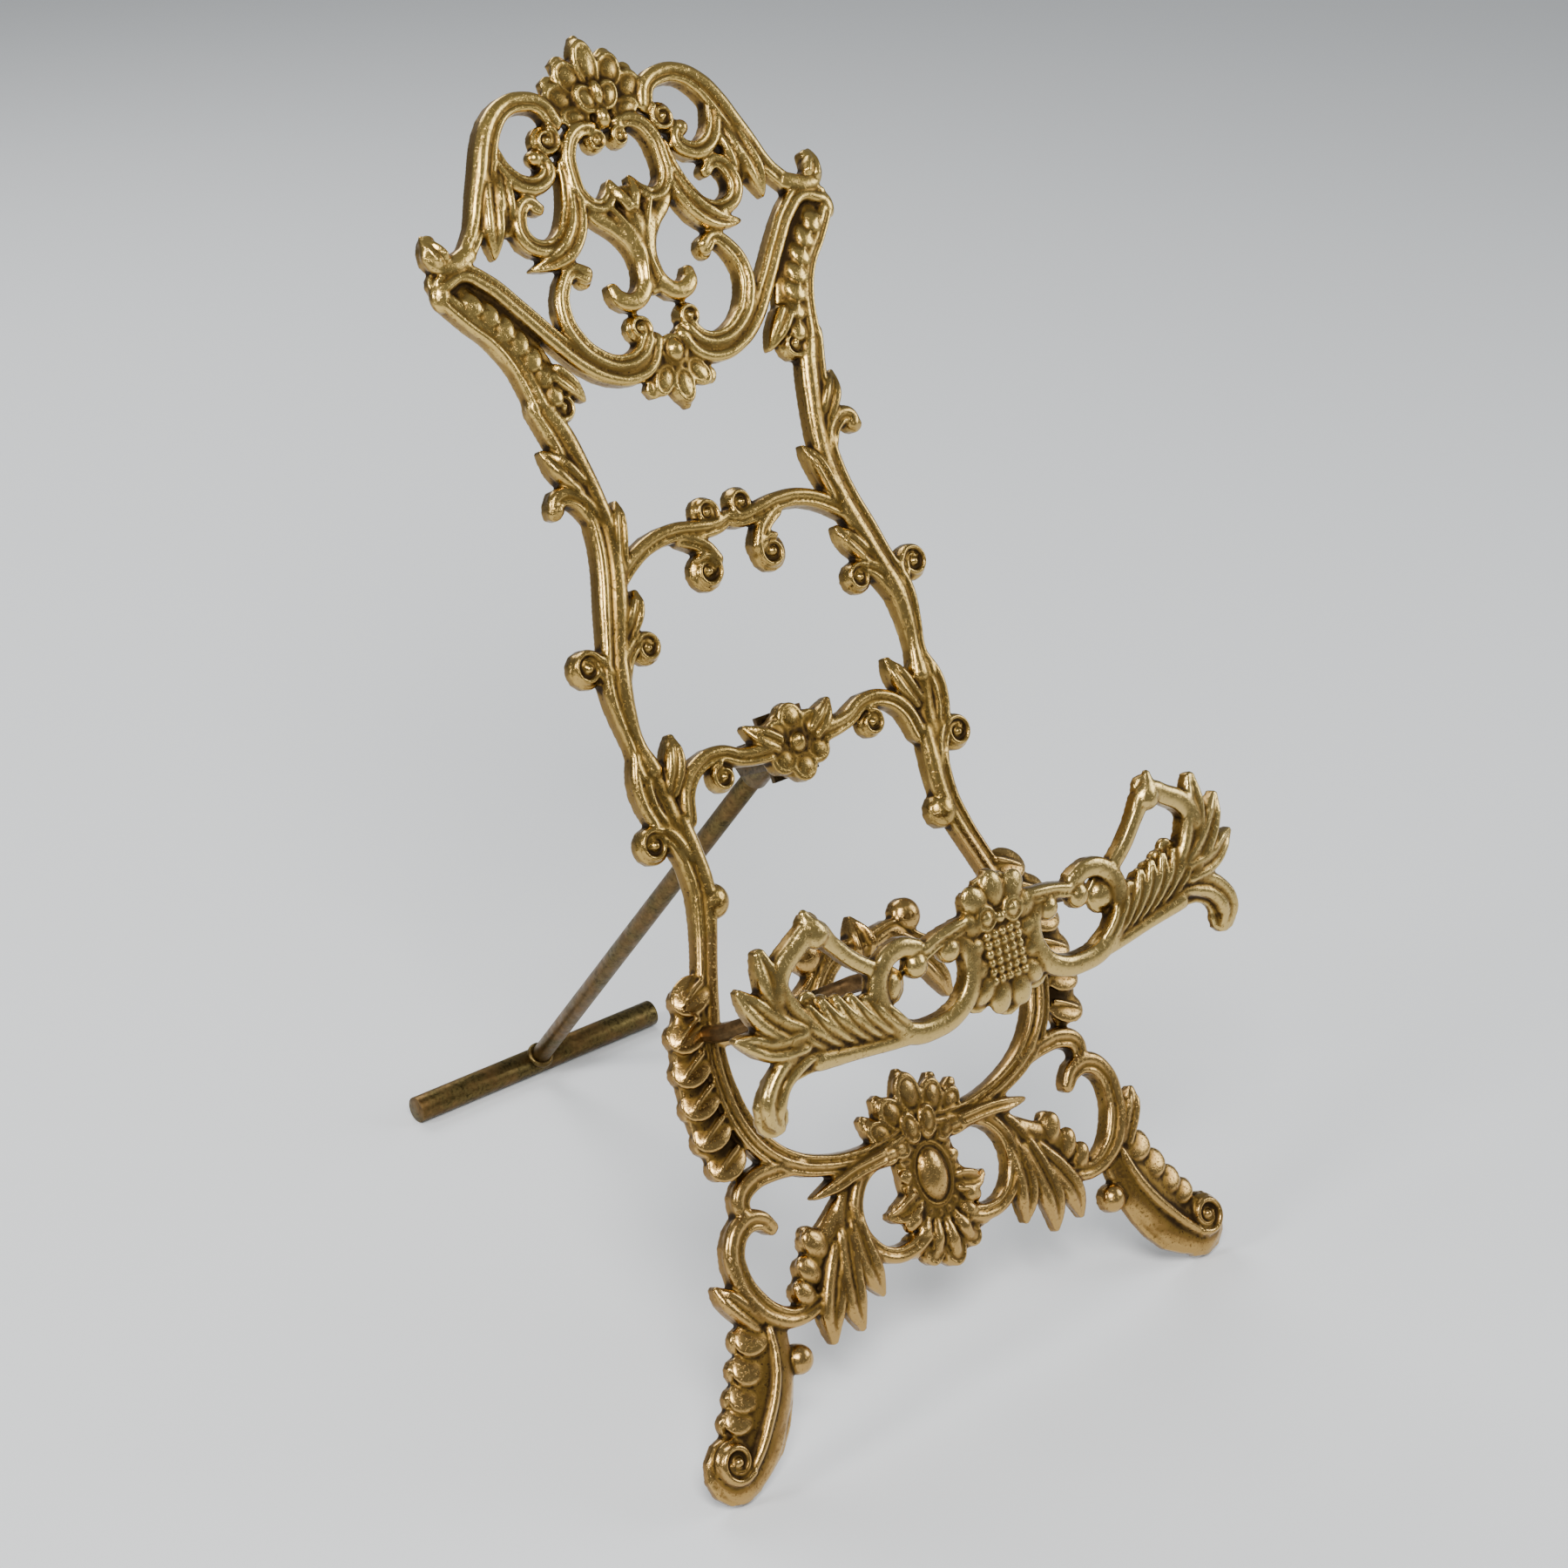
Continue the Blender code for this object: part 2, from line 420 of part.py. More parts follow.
# ---- the castings -----------------------------------------------------------------------------
def frame_casting(parts, cutters):
    lines = [points for group in (CREST, FINIAL, STILE, CROSS_RAILS, APRON) for points in group.values()]
    discs = [disc for group in (CREST_DISCS, STILE_DISCS, RAIL_DISCS, APRON_DISCS) for disc in group.values()]
    discs += ACANTHUS_LOBES + LEG_SCALES
    _, centre, _ = RAIL_DISCS["rosette"]
    for angle in (radians(30), radians(-30)):
        discs.append((ROSETTE_REACH * cos(angle), centre + ROSETTE_REACH * sin(angle), ROSETTE_PETAL_RADIUS))
    discs += [(0, centre + ROSETTE_REACH, ROSETTE_PETAL_RADIUS), (0, centre - ROSETTE_REACH, ROSETTE_PETAL_RADIUS)]
    paired, central = drawn_meshes(lines, discs, -PLATE, 0)
    frame = mirrored_plate("frame", paired, central, parts, cutters)
    frame.matrix_world = plane_to_world()
    return frame


def gallery_casting(parts, cutters):
    discs = [*GALLERY_DISCS.values(), *((x, v, PLUME_RIB_RADIUS) for x, v in PLUME_RIBS)]
    paired, central = drawn_meshes(GALLERY.values(), discs, -GALLERY_PLATE, 0)
    gallery = mirrored_plate("gallery", paired, central, parts, cutters)
    gallery.matrix_world = plane_to_world() @ gallery_to_plane()
    return gallery


# ---- the ledge --------------------------------------------------------------------------------
def to_world(x, v, w):
    """A point of the frame's drawn plane, in millimetres, as a world vector in metres."""
    return plane_to_world() @ Vector((x * MM, v * MM, w * MM))


def arm_line(side):
    """The rod's centre line: straight out of the frame, inwards, then square into the gallery."""
    back = Vector((side * ARM_END_X, ARM_END_V, -GALLERY_PLATE + ARM_SOCKET - GAP)) * MM
    inner_end = plane_to_world() @ gallery_to_plane() @ back
    inner_bend = plane_to_world() @ gallery_to_plane() @ (back - Vector((0, 0, 9 * MM)))
    outer_end = to_world(side * ARM_X, ARM_V, -ARM_SOCKET + GAP)
    outer_bend = to_world(side * ARM_X, ARM_V, 7)
    line = [outer_end, outer_bend, outer_bend.lerp(inner_bend, 0.25), outer_bend.lerp(inner_bend, 0.75),
            inner_bend, inner_end]
    return smooth_line([tuple(point) for point in line], 3)


def facing(point, direction):
    """A matrix at the point whose z runs along the direction."""
    return Matrix.Translation(point) @ direction.to_track_quat("Z", "Y").to_matrix().to_4x4()


def cut_holes(casting, holes, collection):
    """Cut all the holes of a casting at once, then make its flat stretches whole."""
    meshes = []
    for hole in holes:
        mesh = hole.data.copy()
        mesh.transform(casting.matrix_world.inverted() @ hole.matrix_world)
        meshes.append(mesh)
    cutter = joined(casting.name + "_holes", meshes, collection)
    cutter.matrix_world = casting.matrix_world
    boolean(casting, cutter, "DIFFERENCE")
    flatten(casting)


def stepped_hole(name, place, wide, wide_depth, narrow, cutters):
    """A socket sunk into a face at the place, with a narrower hole on through the plate."""
    hole = cylinder(name, wide, 2 * wide_depth, place, cutters)
    through = 3 * PLATE
    drill = cylinder(name + "_drill", narrow, through,
                     place @ Matrix.Translation((0, 0, (wide_depth - through) / 2 * MM)), cutters)
    boolean(hole, drill, "UNION")
    return hole


def ledge(parts, cutters):
    """The two rods and the screws that hold them from behind, with their holes in both castings."""
    out = plane_to_world().to_3x3() @ Vector((0, 0, 1))
    gallery_out = (plane_to_world() @ gallery_to_plane()).to_3x3() @ Vector((0, 0, 1))
    arms, screws, frame_holes, gallery_holes = [], [], [], []
    for side, word in ((-1, "left"), (1, "right")):
        arm = tube_along("ledge_rod_" + word, arm_line(side), ARM_RADIUS, parts)
        tapped = cylinder("tapped_" + word, SCREW_RADIUS + RUNNING_GAP, 2 * (SCREW_REACH + 2 * GAP),
                          facing(to_world(side * ARM_X, ARM_V, -ARM_SOCKET + GAP), out), cutters)
        boolean(arm, tapped, "DIFFERENCE")
        arms.append(arm)
        frame_holes.append(stepped_hole("rod_socket_" + word, facing(to_world(side * ARM_X, ARM_V, 0), out),
                                        ARM_RADIUS + GAP, ARM_SOCKET, SCREW_RADIUS + GAP, cutters))
        seat = (plane_to_world() @ gallery_to_plane()
                @ Vector((side * ARM_END_X * MM, ARM_END_V * MM, -GALLERY_PLATE * MM)))
        gallery_holes.append(cylinder("rod_seat_" + word, ARM_RADIUS + GAP, 2 * ARM_SOCKET,
                                      facing(seat, gallery_out), cutters))
        head_w = -PLATE - GAP - SCREW_HEAD / 2
        screw = cylinder("ledge_screw_" + word, SCREW_HEAD_RADIUS, SCREW_HEAD,
                         facing(to_world(side * ARM_X, ARM_V, head_w), out), parts)
        tip_w = -ARM_SOCKET + SCREW_REACH
        shank = cylinder("shank_" + word, SCREW_RADIUS, tip_w - head_w,
                         facing(to_world(side * ARM_X, ARM_V, (tip_w + head_w) / 2), out), cutters)
        boolean(screw, shank, "UNION")
        screws.append(screw)
    return arms, screws, frame_holes, gallery_holes


# ---- the strut --------------------------------------------------------------------------------
def strut_angle():
    """The open strut's angle from the frame's plane, so that the T bar rests on the ground."""
    lean = radians(LEAN)
    pin_height = (PIN_V * cos(lean) + (PIN_W + PLATE) * sin(lean))
    drop = (pin_height - FOOT_RADIUS) / STRUT_LENGTH
    return acos(drop) + lean


def hinge_place():
    """The world place of the pin, with x along it and z down the strut's plane side."""
    return plane_to_world() @ Matrix.Translation((0, PIN_V * MM, PIN_W * MM))


def strut_place():
    """At the pin, with x along it and z down the open strut."""
    angle = strut_angle()
    down = Vector((0, -cos(angle), -sin(angle)))
    x_axis = Vector((1, 0, 0))
    y_axis = down.cross(x_axis)
    turn = Matrix((x_axis, y_axis, down)).transposed().to_4x4()
    return hinge_place() @ turn


def hull(name, corners, collection):
    """The closed convex solid round the corner points."""
    bm = bmesh.new()
    for corner in corners:
        bm.verts.new(corner)
    made = bmesh.ops.convex_hull(bm, input=bm.verts)
    inside = [v for v in made["geom_interior"] if isinstance(v, bmesh.types.BMVert)]
    bmesh.ops.delete(bm, geom=inside, context="VERTS")
    bmesh.ops.recalc_face_normals(bm, faces=bm.faces)
    mesh = bpy.data.meshes.new(name)
    bm.to_mesh(mesh)
    bm.free()
    return placed(name, mesh, collection)


def hinge_bracket(parts, cutters):
    """A base plate behind the rosette with two lugs and the stop that the open strut bears on."""
    across = Matrix.Rotation(radians(90), 4, "Y")
    plate_w = -PLATE - GAP - BRACKET_SHEET / 2
    bracket = box("hinge_bracket", (BRACKET_WIDTH, BRACKET_HEIGHT, BRACKET_SHEET),
                  plane_to_world() @ Matrix.Translation((0, BRACKET_V * MM, plate_w * MM)), parts)
    stop_up = COLLAR_RADIUS + GAP + BRACKET_SHEET / 2
    inner, outer = LUG_GAP / 2, LUG_GAP / 2 + BRACKET_SHEET
    root_depth = plate_w - PIN_W
    for side in (-1, 1):
        corners = []
        for x in (side * inner, side * outer):
            for k in range(16):
                angle = 2 * pi * k / 16
                corners.append(hinge_place() @ (Vector((x, LUG_RADIUS * cos(angle), LUG_RADIUS * sin(angle))) * MM))
            for v in (-LUG_ROOT, LUG_ROOT):
                corners.append(hinge_place() @ (Vector((x, v, root_depth)) * MM))
            for along in (STOP_ALONG - 2.6, STOP_ALONG + 2.6):
                corners.append(strut_place() @ (Vector((x, -stop_up - 1.2, along)) * MM))
                corners.append(strut_place() @ (Vector((x, 0, along)) * MM))
        boolean(bracket, hull("lug", corners, cutters), "UNION")
    web = box("stop_web", (inner + outer, BRACKET_SHEET, 3.6),
              strut_place() @ Matrix.Translation((0, -stop_up * MM, STOP_ALONG * MM)), cutters)
    boolean(bracket, web, "UNION")
    bore = cylinder("pin_bore", PIN_RADIUS + RUNNING_GAP, 4 * outer, hinge_place() @ across, cutters)
    boolean(bracket, bore, "DIFFERENCE")
    return bracket


def hinge_pin(parts, cutters):
    across = Matrix.Rotation(radians(90), 4, "Y")
    half = LUG_GAP / 2 + BRACKET_SHEET + GAP
    pin = cylinder("hinge_pin", PIN_RADIUS, 2 * half + 1.0, hinge_place() @ across, parts)
    for side in (-1, 1):
        head = cylinder("pin_head", PIN_RADIUS * 1.6, 1.0,
                        hinge_place() @ Matrix.Translation((side * (half + 0.5) * MM, 0, 0)) @ across, cutters)
        boolean(pin, head, "UNION")
    return pin


def bracket_rivets(bracket, parts, cutters):
    """Two short rivets that hold the bracket to the frame, side by side above the lugs."""
    rivets, holes = [], []
    deep = -PLATE + RIVET_DEPTH
    under_head = -PLATE - 2 * GAP - BRACKET_SHEET
    for side, word in ((-1, "left"), (1, "right")):
        def at(w, side=side):
            return plane_to_world() @ Matrix.Translation((side * RIVET_X * MM, RIVET_V * MM, w * MM))
        shank_out = under_head - RIVET_HEAD / 2
        rivet = cylinder("bracket_rivet_" + word, RIVET_RADIUS, deep - shank_out,
                         at((deep + shank_out) / 2), parts, sides=16)
        head = cylinder("rivet_head", RIVET_RADIUS * 1.8, RIVET_HEAD, at(under_head - RIVET_HEAD / 2), cutters,
                        sides=16)
        boolean(rivet, head, "UNION")
        hole_end = deep + GAP
        hole = cylinder("rivet_hole", RIVET_RADIUS + GAP, 2 * (hole_end - under_head), at(under_head), cutters,
                        sides=16)
        boolean(bracket, hole, "DIFFERENCE")
        rivets.append(rivet)
        holes.append(hole)
    return rivets, holes


def strut(parts, cutters):
    """The eye that turns on the pin, the rod in its collar, and the T bar across the rod's foot."""
    across = Matrix.Rotation(radians(90), 4, "Y")
    eye = cylinder("strut_eye", EYE_RADIUS, EYE_WIDTH, hinge_place() @ across, parts)
    collar_length = COLLAR_END - COLLAR_START
    collar = cylinder("collar", COLLAR_RADIUS, collar_length,
                      strut_place() @ Matrix.Translation((0, 0, (COLLAR_START + COLLAR_END) / 2 * MM)), cutters)
    boolean(eye, collar, "UNION")
    boolean(eye, cylinder("eye_bore", PIN_RADIUS + RUNNING_GAP, 3 * EYE_WIDTH, hinge_place() @ across, cutters),
            "DIFFERENCE")
    seat_depth = 7.0
    rod_start = COLLAR_END - seat_depth + GAP
    rod_end = STRUT_LENGTH - FOOT_RADIUS + FOOT_SEAT
    socket = cylinder("rod_seat", STRUT_RADIUS + GAP, 2 * seat_depth,
                      strut_place() @ Matrix.Translation((0, 0, COLLAR_END * MM)), cutters)
    boolean(eye, socket, "DIFFERENCE")
    rod = cylinder("strut_rod", STRUT_RADIUS, rod_end - rod_start,
                   strut_place() @ Matrix.Translation((0, 0, (rod_start + rod_end) / 2 * MM)), parts)
    foot_place = strut_place() @ Matrix.Translation((0, 0, STRUT_LENGTH * MM)) @ across
    bar = cylinder("foot_bar", FOOT_RADIUS, FOOT_LENGTH, foot_place, parts)
    seat_start, seat_end = STRUT_LENGTH - 2 * FOOT_RADIUS, rod_end + GAP
    bar_seat = cylinder("bar_seat", STRUT_RADIUS + GAP, seat_end - seat_start,
                        strut_place() @ Matrix.Translation((0, 0, (seat_start + seat_end) / 2 * MM)), cutters)
    boolean(bar, bar_seat, "DIFFERENCE")
    return eye, rod, bar


def stand_on_origin(parts):
    """Move every part so that the origin is under the middle of the whole stand."""
    bpy.context.view_layer.update()
    depths = [(item.matrix_world @ vertex.co).y for item in parts.objects for vertex in item.data.vertices]
    shift = Matrix.Translation((0, -(min(depths) + max(depths)) / 2, 0))
    for item in parts.objects:
        item.matrix_world = shift @ item.matrix_world


def main():
    parts, cutters = clear_scene()
    frame = frame_casting(parts, cutters)
    gallery = gallery_casting(parts, cutters)
    arms, screws, frame_holes, gallery_holes = ledge(parts, cutters)
    bracket = hinge_bracket(parts, cutters)
    pin = hinge_pin(parts, cutters)
    rivets, rivet_holes = bracket_rivets(bracket, parts, cutters)
    cut_holes(frame, frame_holes + rivet_holes, cutters)
    cut_holes(gallery, gallery_holes, cutters)
    eye, rod, bar = strut(parts, cutters)
    brass = metal("antique_brass", BRASS, 0.32)
    bronze = metal("aged_bronze", AGED_BRONZE, 0.45)
    for item in (frame, gallery):
        item.data.materials.append(brass)
    for item in (*arms, *screws, bracket, pin, *rivets, eye, rod, bar):
        item.data.materials.append(bronze)
    stand_on_origin(parts)


main()
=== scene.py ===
"""Rococo cast-brass stand for a photo album: the looks.

The frame and the gallery are castings.  Each one starts as the plain plate of its outline, cut
down to a ground; the scrolls, leaves, beads and petals are laid on that ground and the whole is
run together as one metal skin.  The rods, the hinge and the strut are aged bronze.
The ornament is drawn in millimetres in the plane of each casting: x to the right, v up the plate,
and a half width at each point.  Only the right half is drawn.
"""
from math import cos, pi, radians, sin

import bpy
import numpy as np
from mathutils import Matrix, Vector

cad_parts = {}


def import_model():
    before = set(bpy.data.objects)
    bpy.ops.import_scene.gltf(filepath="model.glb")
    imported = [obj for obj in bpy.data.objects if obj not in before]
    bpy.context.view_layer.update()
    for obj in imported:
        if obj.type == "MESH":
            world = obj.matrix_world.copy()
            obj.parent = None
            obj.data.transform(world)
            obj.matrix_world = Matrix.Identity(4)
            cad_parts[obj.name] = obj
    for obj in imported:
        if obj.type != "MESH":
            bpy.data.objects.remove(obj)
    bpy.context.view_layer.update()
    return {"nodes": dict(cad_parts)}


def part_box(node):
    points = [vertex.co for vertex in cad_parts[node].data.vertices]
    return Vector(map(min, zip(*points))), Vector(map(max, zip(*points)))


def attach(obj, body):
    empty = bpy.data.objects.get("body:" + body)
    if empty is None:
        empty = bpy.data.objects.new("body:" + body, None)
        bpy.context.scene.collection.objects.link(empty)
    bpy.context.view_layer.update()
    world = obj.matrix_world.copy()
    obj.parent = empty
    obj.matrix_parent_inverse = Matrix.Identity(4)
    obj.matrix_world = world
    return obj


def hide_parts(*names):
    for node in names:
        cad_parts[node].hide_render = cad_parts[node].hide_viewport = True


MM = 0.001
LEAN = radians(27.5)             # the frame leans back this far from upright
PLATE, GALLERY_PLATE = 5.0, 4.0              # thickness of the castings
GALLERY_V, GALLERY_W = 105.0, 51.3           # the gallery's height up the frame, and distance in front
GALLERY_TILT = radians(10.6)                 # its top tips this far towards the viewer
GROUND, GALLERY_GROUND = -2.6, -2.1          # the ornament stands on the plate cut down to this depth
SKIN = 0.4            # grain of the cast skin
SPLITS = (56.0, 124.0, 243.0, 285.0)         # the frame's skin is kept in lengths, cut at these heights

# ---- the ornament: name: (section, rise above the ground, [(x, v, half width), ...]) ----------
CREST = {
    "lyre_band": ("scroll", 2.3, [(3.5, 308.6, 1.7), (8, 308.6, 2), (11.8, 305, 2.1), (13, 299, 2.1),
        (12.2, 293.6, 2.1), (8.2, 290.6, 2), (4.8, 292, 1.9), (3, 295.4, 1)]),
    "vase_band": ("smooth", 2.1, [(12.8, 293.6, 1.9), (9.6, 288.4, 2.1), (5.2, 284.6, 2.2),
        (2.2, 280, 2.2), (1.4, 275, 2.2), (3, 269.8, 2.3), (7, 267.6, 2.3), (10.4, 269.2, 2.2),
        (11.2, 271.6, 1.6)]),
    "vase_heart": ("smooth", 1.9, [(0, 292, 2.6), (0, 286, 2.4), (0, 270, 2.2)]),
    "scroll_band": ("scroll", 2.3, [(6.4, 258.6, 2.2), (9.4, 255.6, 2.1), (14.5, 254.6, 2.1),
        (20.5, 257, 2.2), (25.2, 262.5, 2.3), (26.6, 269, 2.2), (24.3, 275, 2), (20.6, 277.8, 1.9),
        (17.6, 276.2, 2.2)]),
    "shoulder_rim": ("scroll", 2.3, [(55.6, 281.6, 2.4), (50, 283.2, 2.4), (44.6, 280, 2.4),
        (38, 272.4, 2.4), (31.6, 264.2, 2.4), (25, 256.6, 2.4), (19, 252.6, 2.3), (12.6, 251.2, 2.2),
        (7.4, 253, 2.2), (4.2, 258, 2.2)]),
    "outer_arch": ("scroll", 2.3, [(46.8, 286.8, 2.2), (42.6, 291.6, 2.3), (38.8, 298.6, 2.8),
        (35.8, 304, 3.1), (33.4, 309, 3.1), (30, 314, 2.9), (25.4, 317.2, 2.6), (20, 317.8, 2.5),
        (15.4, 316, 2.4), (13.2, 311.6, 2.3)]),
    "arch_hook": ("scroll", 2.3, [(31.8, 308, 1.9), (30.4, 303, 2.3), (26.6, 299.2, 2.5),
        (21.8, 298.9, 2.4), (19, 301.8, 2.2), (20.8, 305, 1.7)]),
    "loop_band": ("scroll", 2.3, [(24.4, 293.2, 1.6), (27.6, 295.2, 2), (31, 291.4, 2.2),
        (30.6, 286.8, 2.3), (26.4, 284.2, 2.2), (21.4, 285.4, 2), (17.8, 290, 1.9), (15.6, 296, 1.7),
        (14.6, 302, 1.5)]),
    "horn": ("smooth", 2.2, [(55.4, 291.6, 1.7), (56, 287.8, 2.5), (52.4, 285.2, 2.6), (46.6, 286.8, 2.3)]),
    "arch_leaf": ("leaf", 2.3, [(34.4, 304, 1.8), (36.6, 297, 2.7), (38.4, 290, 2.7), (39.5, 284.6, 0.5)]),
    "inner_leaf": ("leaf", 2.3, [(32, 302, 1.8), (33.4, 295.5, 2.6), (34.4, 289.4, 0.8)]),
    "side_leaf": ("leaf", 2.4, [(13.6, 300, 1.4), (14.8, 291.5, 2.5), (18.4, 284.8, 3.1),
        (23.6, 281.3, 2.6), (30.8, 280.2, 0.4)]),
    "shoulder_panel": ("dome", 1.3, [(52.6, 277.4, 4.4), (46, 271.4, 5.2), (41, 263.6, 5.4),
        (37.6, 256, 5), (36, 250, 3.6)]),
    "shoulder_edge": ("scroll", 2.3, [(55.4, 277.6, 2.2), (51, 272, 2.2), (46.2, 266.6, 2.2),
        (42.6, 259, 2.2), (40.6, 250, 2.4)]),
    "shoulder_leaf": ("leaf", 2.3, [(34, 256, 2.6), (30.4, 252, 2.2), (27.8, 248.8, 0.6)]),
    "drop_petal": ("dome", 0.7, [(0, 252, 3.2), (0, 246, 4), (0, 241.4, 1)]),
    "drop_side": ("dome", 0.7, [(2, 251, 2.4), (5.4, 248.6, 3), (8.2, 247, 2.4)]),
}
FINIAL = {
    "tall_petal": ("dome", 0.8, [(0, 312, 3.4), (0, 322, 3.3), (0, 327, 2.8), (0, 329.6, 1.2)]),
    "second_petal": ("dome", 0.7, [(2, 316, 2.6), (4.6, 321.5, 3), (6.6, 324.4, 2.4)]),
    "third_petal": ("dome", 0.7, [(4, 313.5, 2.6), (9, 317.6, 3), (11, 320.4, 2.3)]),
    "low_leaf": ("dome", 0.7, [(1, 310.4, 2.4), (7, 312.6, 2.6), (12, 314, 2.4)]),
}
STILE = {
    "upper_stile": ("scroll", 2.6, [(40.8, 250, 3.2), (38.2, 243, 3.8), (36.3, 235, 3.8), (34.6, 226, 3.6),
        (34.3, 218, 3.8), (35.6, 210, 3.9), (38.3, 201, 4), (41, 193, 3.6), (43.4, 185, 4),
        (43.8, 177, 3.2), (43.2, 170, 2.6), (42.6, 164, 3.8)]),
    "high_leaf": ("leaf", 2.3, [(35, 228, 1.8), (38.2, 232, 2.9), (41.2, 236.4, 2.8), (43.4, 239.8, 0.8)]),
    "lobe_hook": ("scroll", 2.3, [(34.4, 216, 2), (35.8, 223, 2.4), (39.2, 228, 2.5), (43.4, 228.8, 2.4),
        (45.2, 226, 2)]),
    "inner_thorn": ("leaf", 2.3, [(32.6, 210, 1.6), (30.8, 217, 2.1), (29.2, 222, 1.7), (28.2, 224.6, 0.5)]),
    "low_thorn": ("leaf", 2.3, [(37, 194, 1.8), (33.6, 198.4, 2.5), (31.4, 201.8, 1.9), (30.8, 203.4, 1)]),
    "outer_neck": ("scroll", 2.3, [(43.6, 181, 2), (45, 187, 2.3), (46.2, 191, 2.2)]),
    "inner_neck": ("scroll", 2.3, [(41.6, 184, 2), (38.8, 190, 2.4), (35, 193.2, 2.2)]),
    "bulb_leaf": ("leaf", 2.3, [(38, 158, 2.2), (35.4, 163, 2.9), (34, 167, 2.3), (33.4, 169.4, 1)]),
    "bulb_side": ("leaf", 2.3, [(43.6, 167, 2.4), (45.2, 162, 2.7), (45.2, 156.5, 2.6), (43.2, 150, 2.4)]),
    "bulb_core": ("dome", 2.2, [(42.4, 165, 3.6), (40.6, 157, 3.2), (39.6, 149, 3.4)]),
    "lower_stile": ("scroll", 2.3, [(39, 150, 3.4), (38.4, 142, 3.7), (38.2, 134, 3.6), (40.2, 126, 3.2),
        (42.8, 118.5, 3), (45.2, 112, 3.1), (47.6, 105, 3.2)]),
    "curl_neck": ("scroll", 2.3, [(39.6, 141, 2.2), (41.6, 147, 2.3), (44, 150, 2)]),
}
CROSS_RAILS = {
    "arch_rail": ("scroll", 2.3, [(36, 205, 2), (30.4, 209.6, 2.2), (23.4, 213, 2.3), (15.4, 213.9, 2.4),
        (9, 212.9, 2.4), (3.4, 212.6, 2.2), (0, 213.6, 2)]),
    "arch_curl": ("scroll", 2.3, [(14.6, 211.8, 1.6), (9.2, 209, 2.1), (6.6, 205, 2.1)]),
    "rosette_rail": ("scroll", 2.3, [(35.8, 150, 2.2), (33.6, 157, 2.3), (28.6, 161.2, 2.3),
        (22, 162, 2.2), (16.4, 159.6, 2.3), (9, 158.6, 2.6)]),
    "rosette_leaf": ("leaf", 2.3, [(6, 160, 2.6), (10, 163, 2.5), (12.6, 165.4, 1)]),
    "ledge_rail": ("scroll", 2.3, [(0, 107, 2.6), (6.4, 108.6, 2.4), (11.6, 108.6, 2.2), (15, 105, 2.3),
        (20, 101.6, 2.4), (28, 100.2, 2.5), (38, 100.2, 2.6), (46, 101.4, 2.8)]),
    "ledge_leaf": ("leaf", 2.3, [(7, 107.4, 2), (12.6, 104.4, 2.6), (17, 99, 2.9), (20.2, 93, 2.6),
        (21.4, 89.2, 1.4)]),
    "ledge_crest": ("petal", 2.6, [(0, 108, 3.6), (0, 112, 2.6), (0, 114.8, 0.6)]),
}
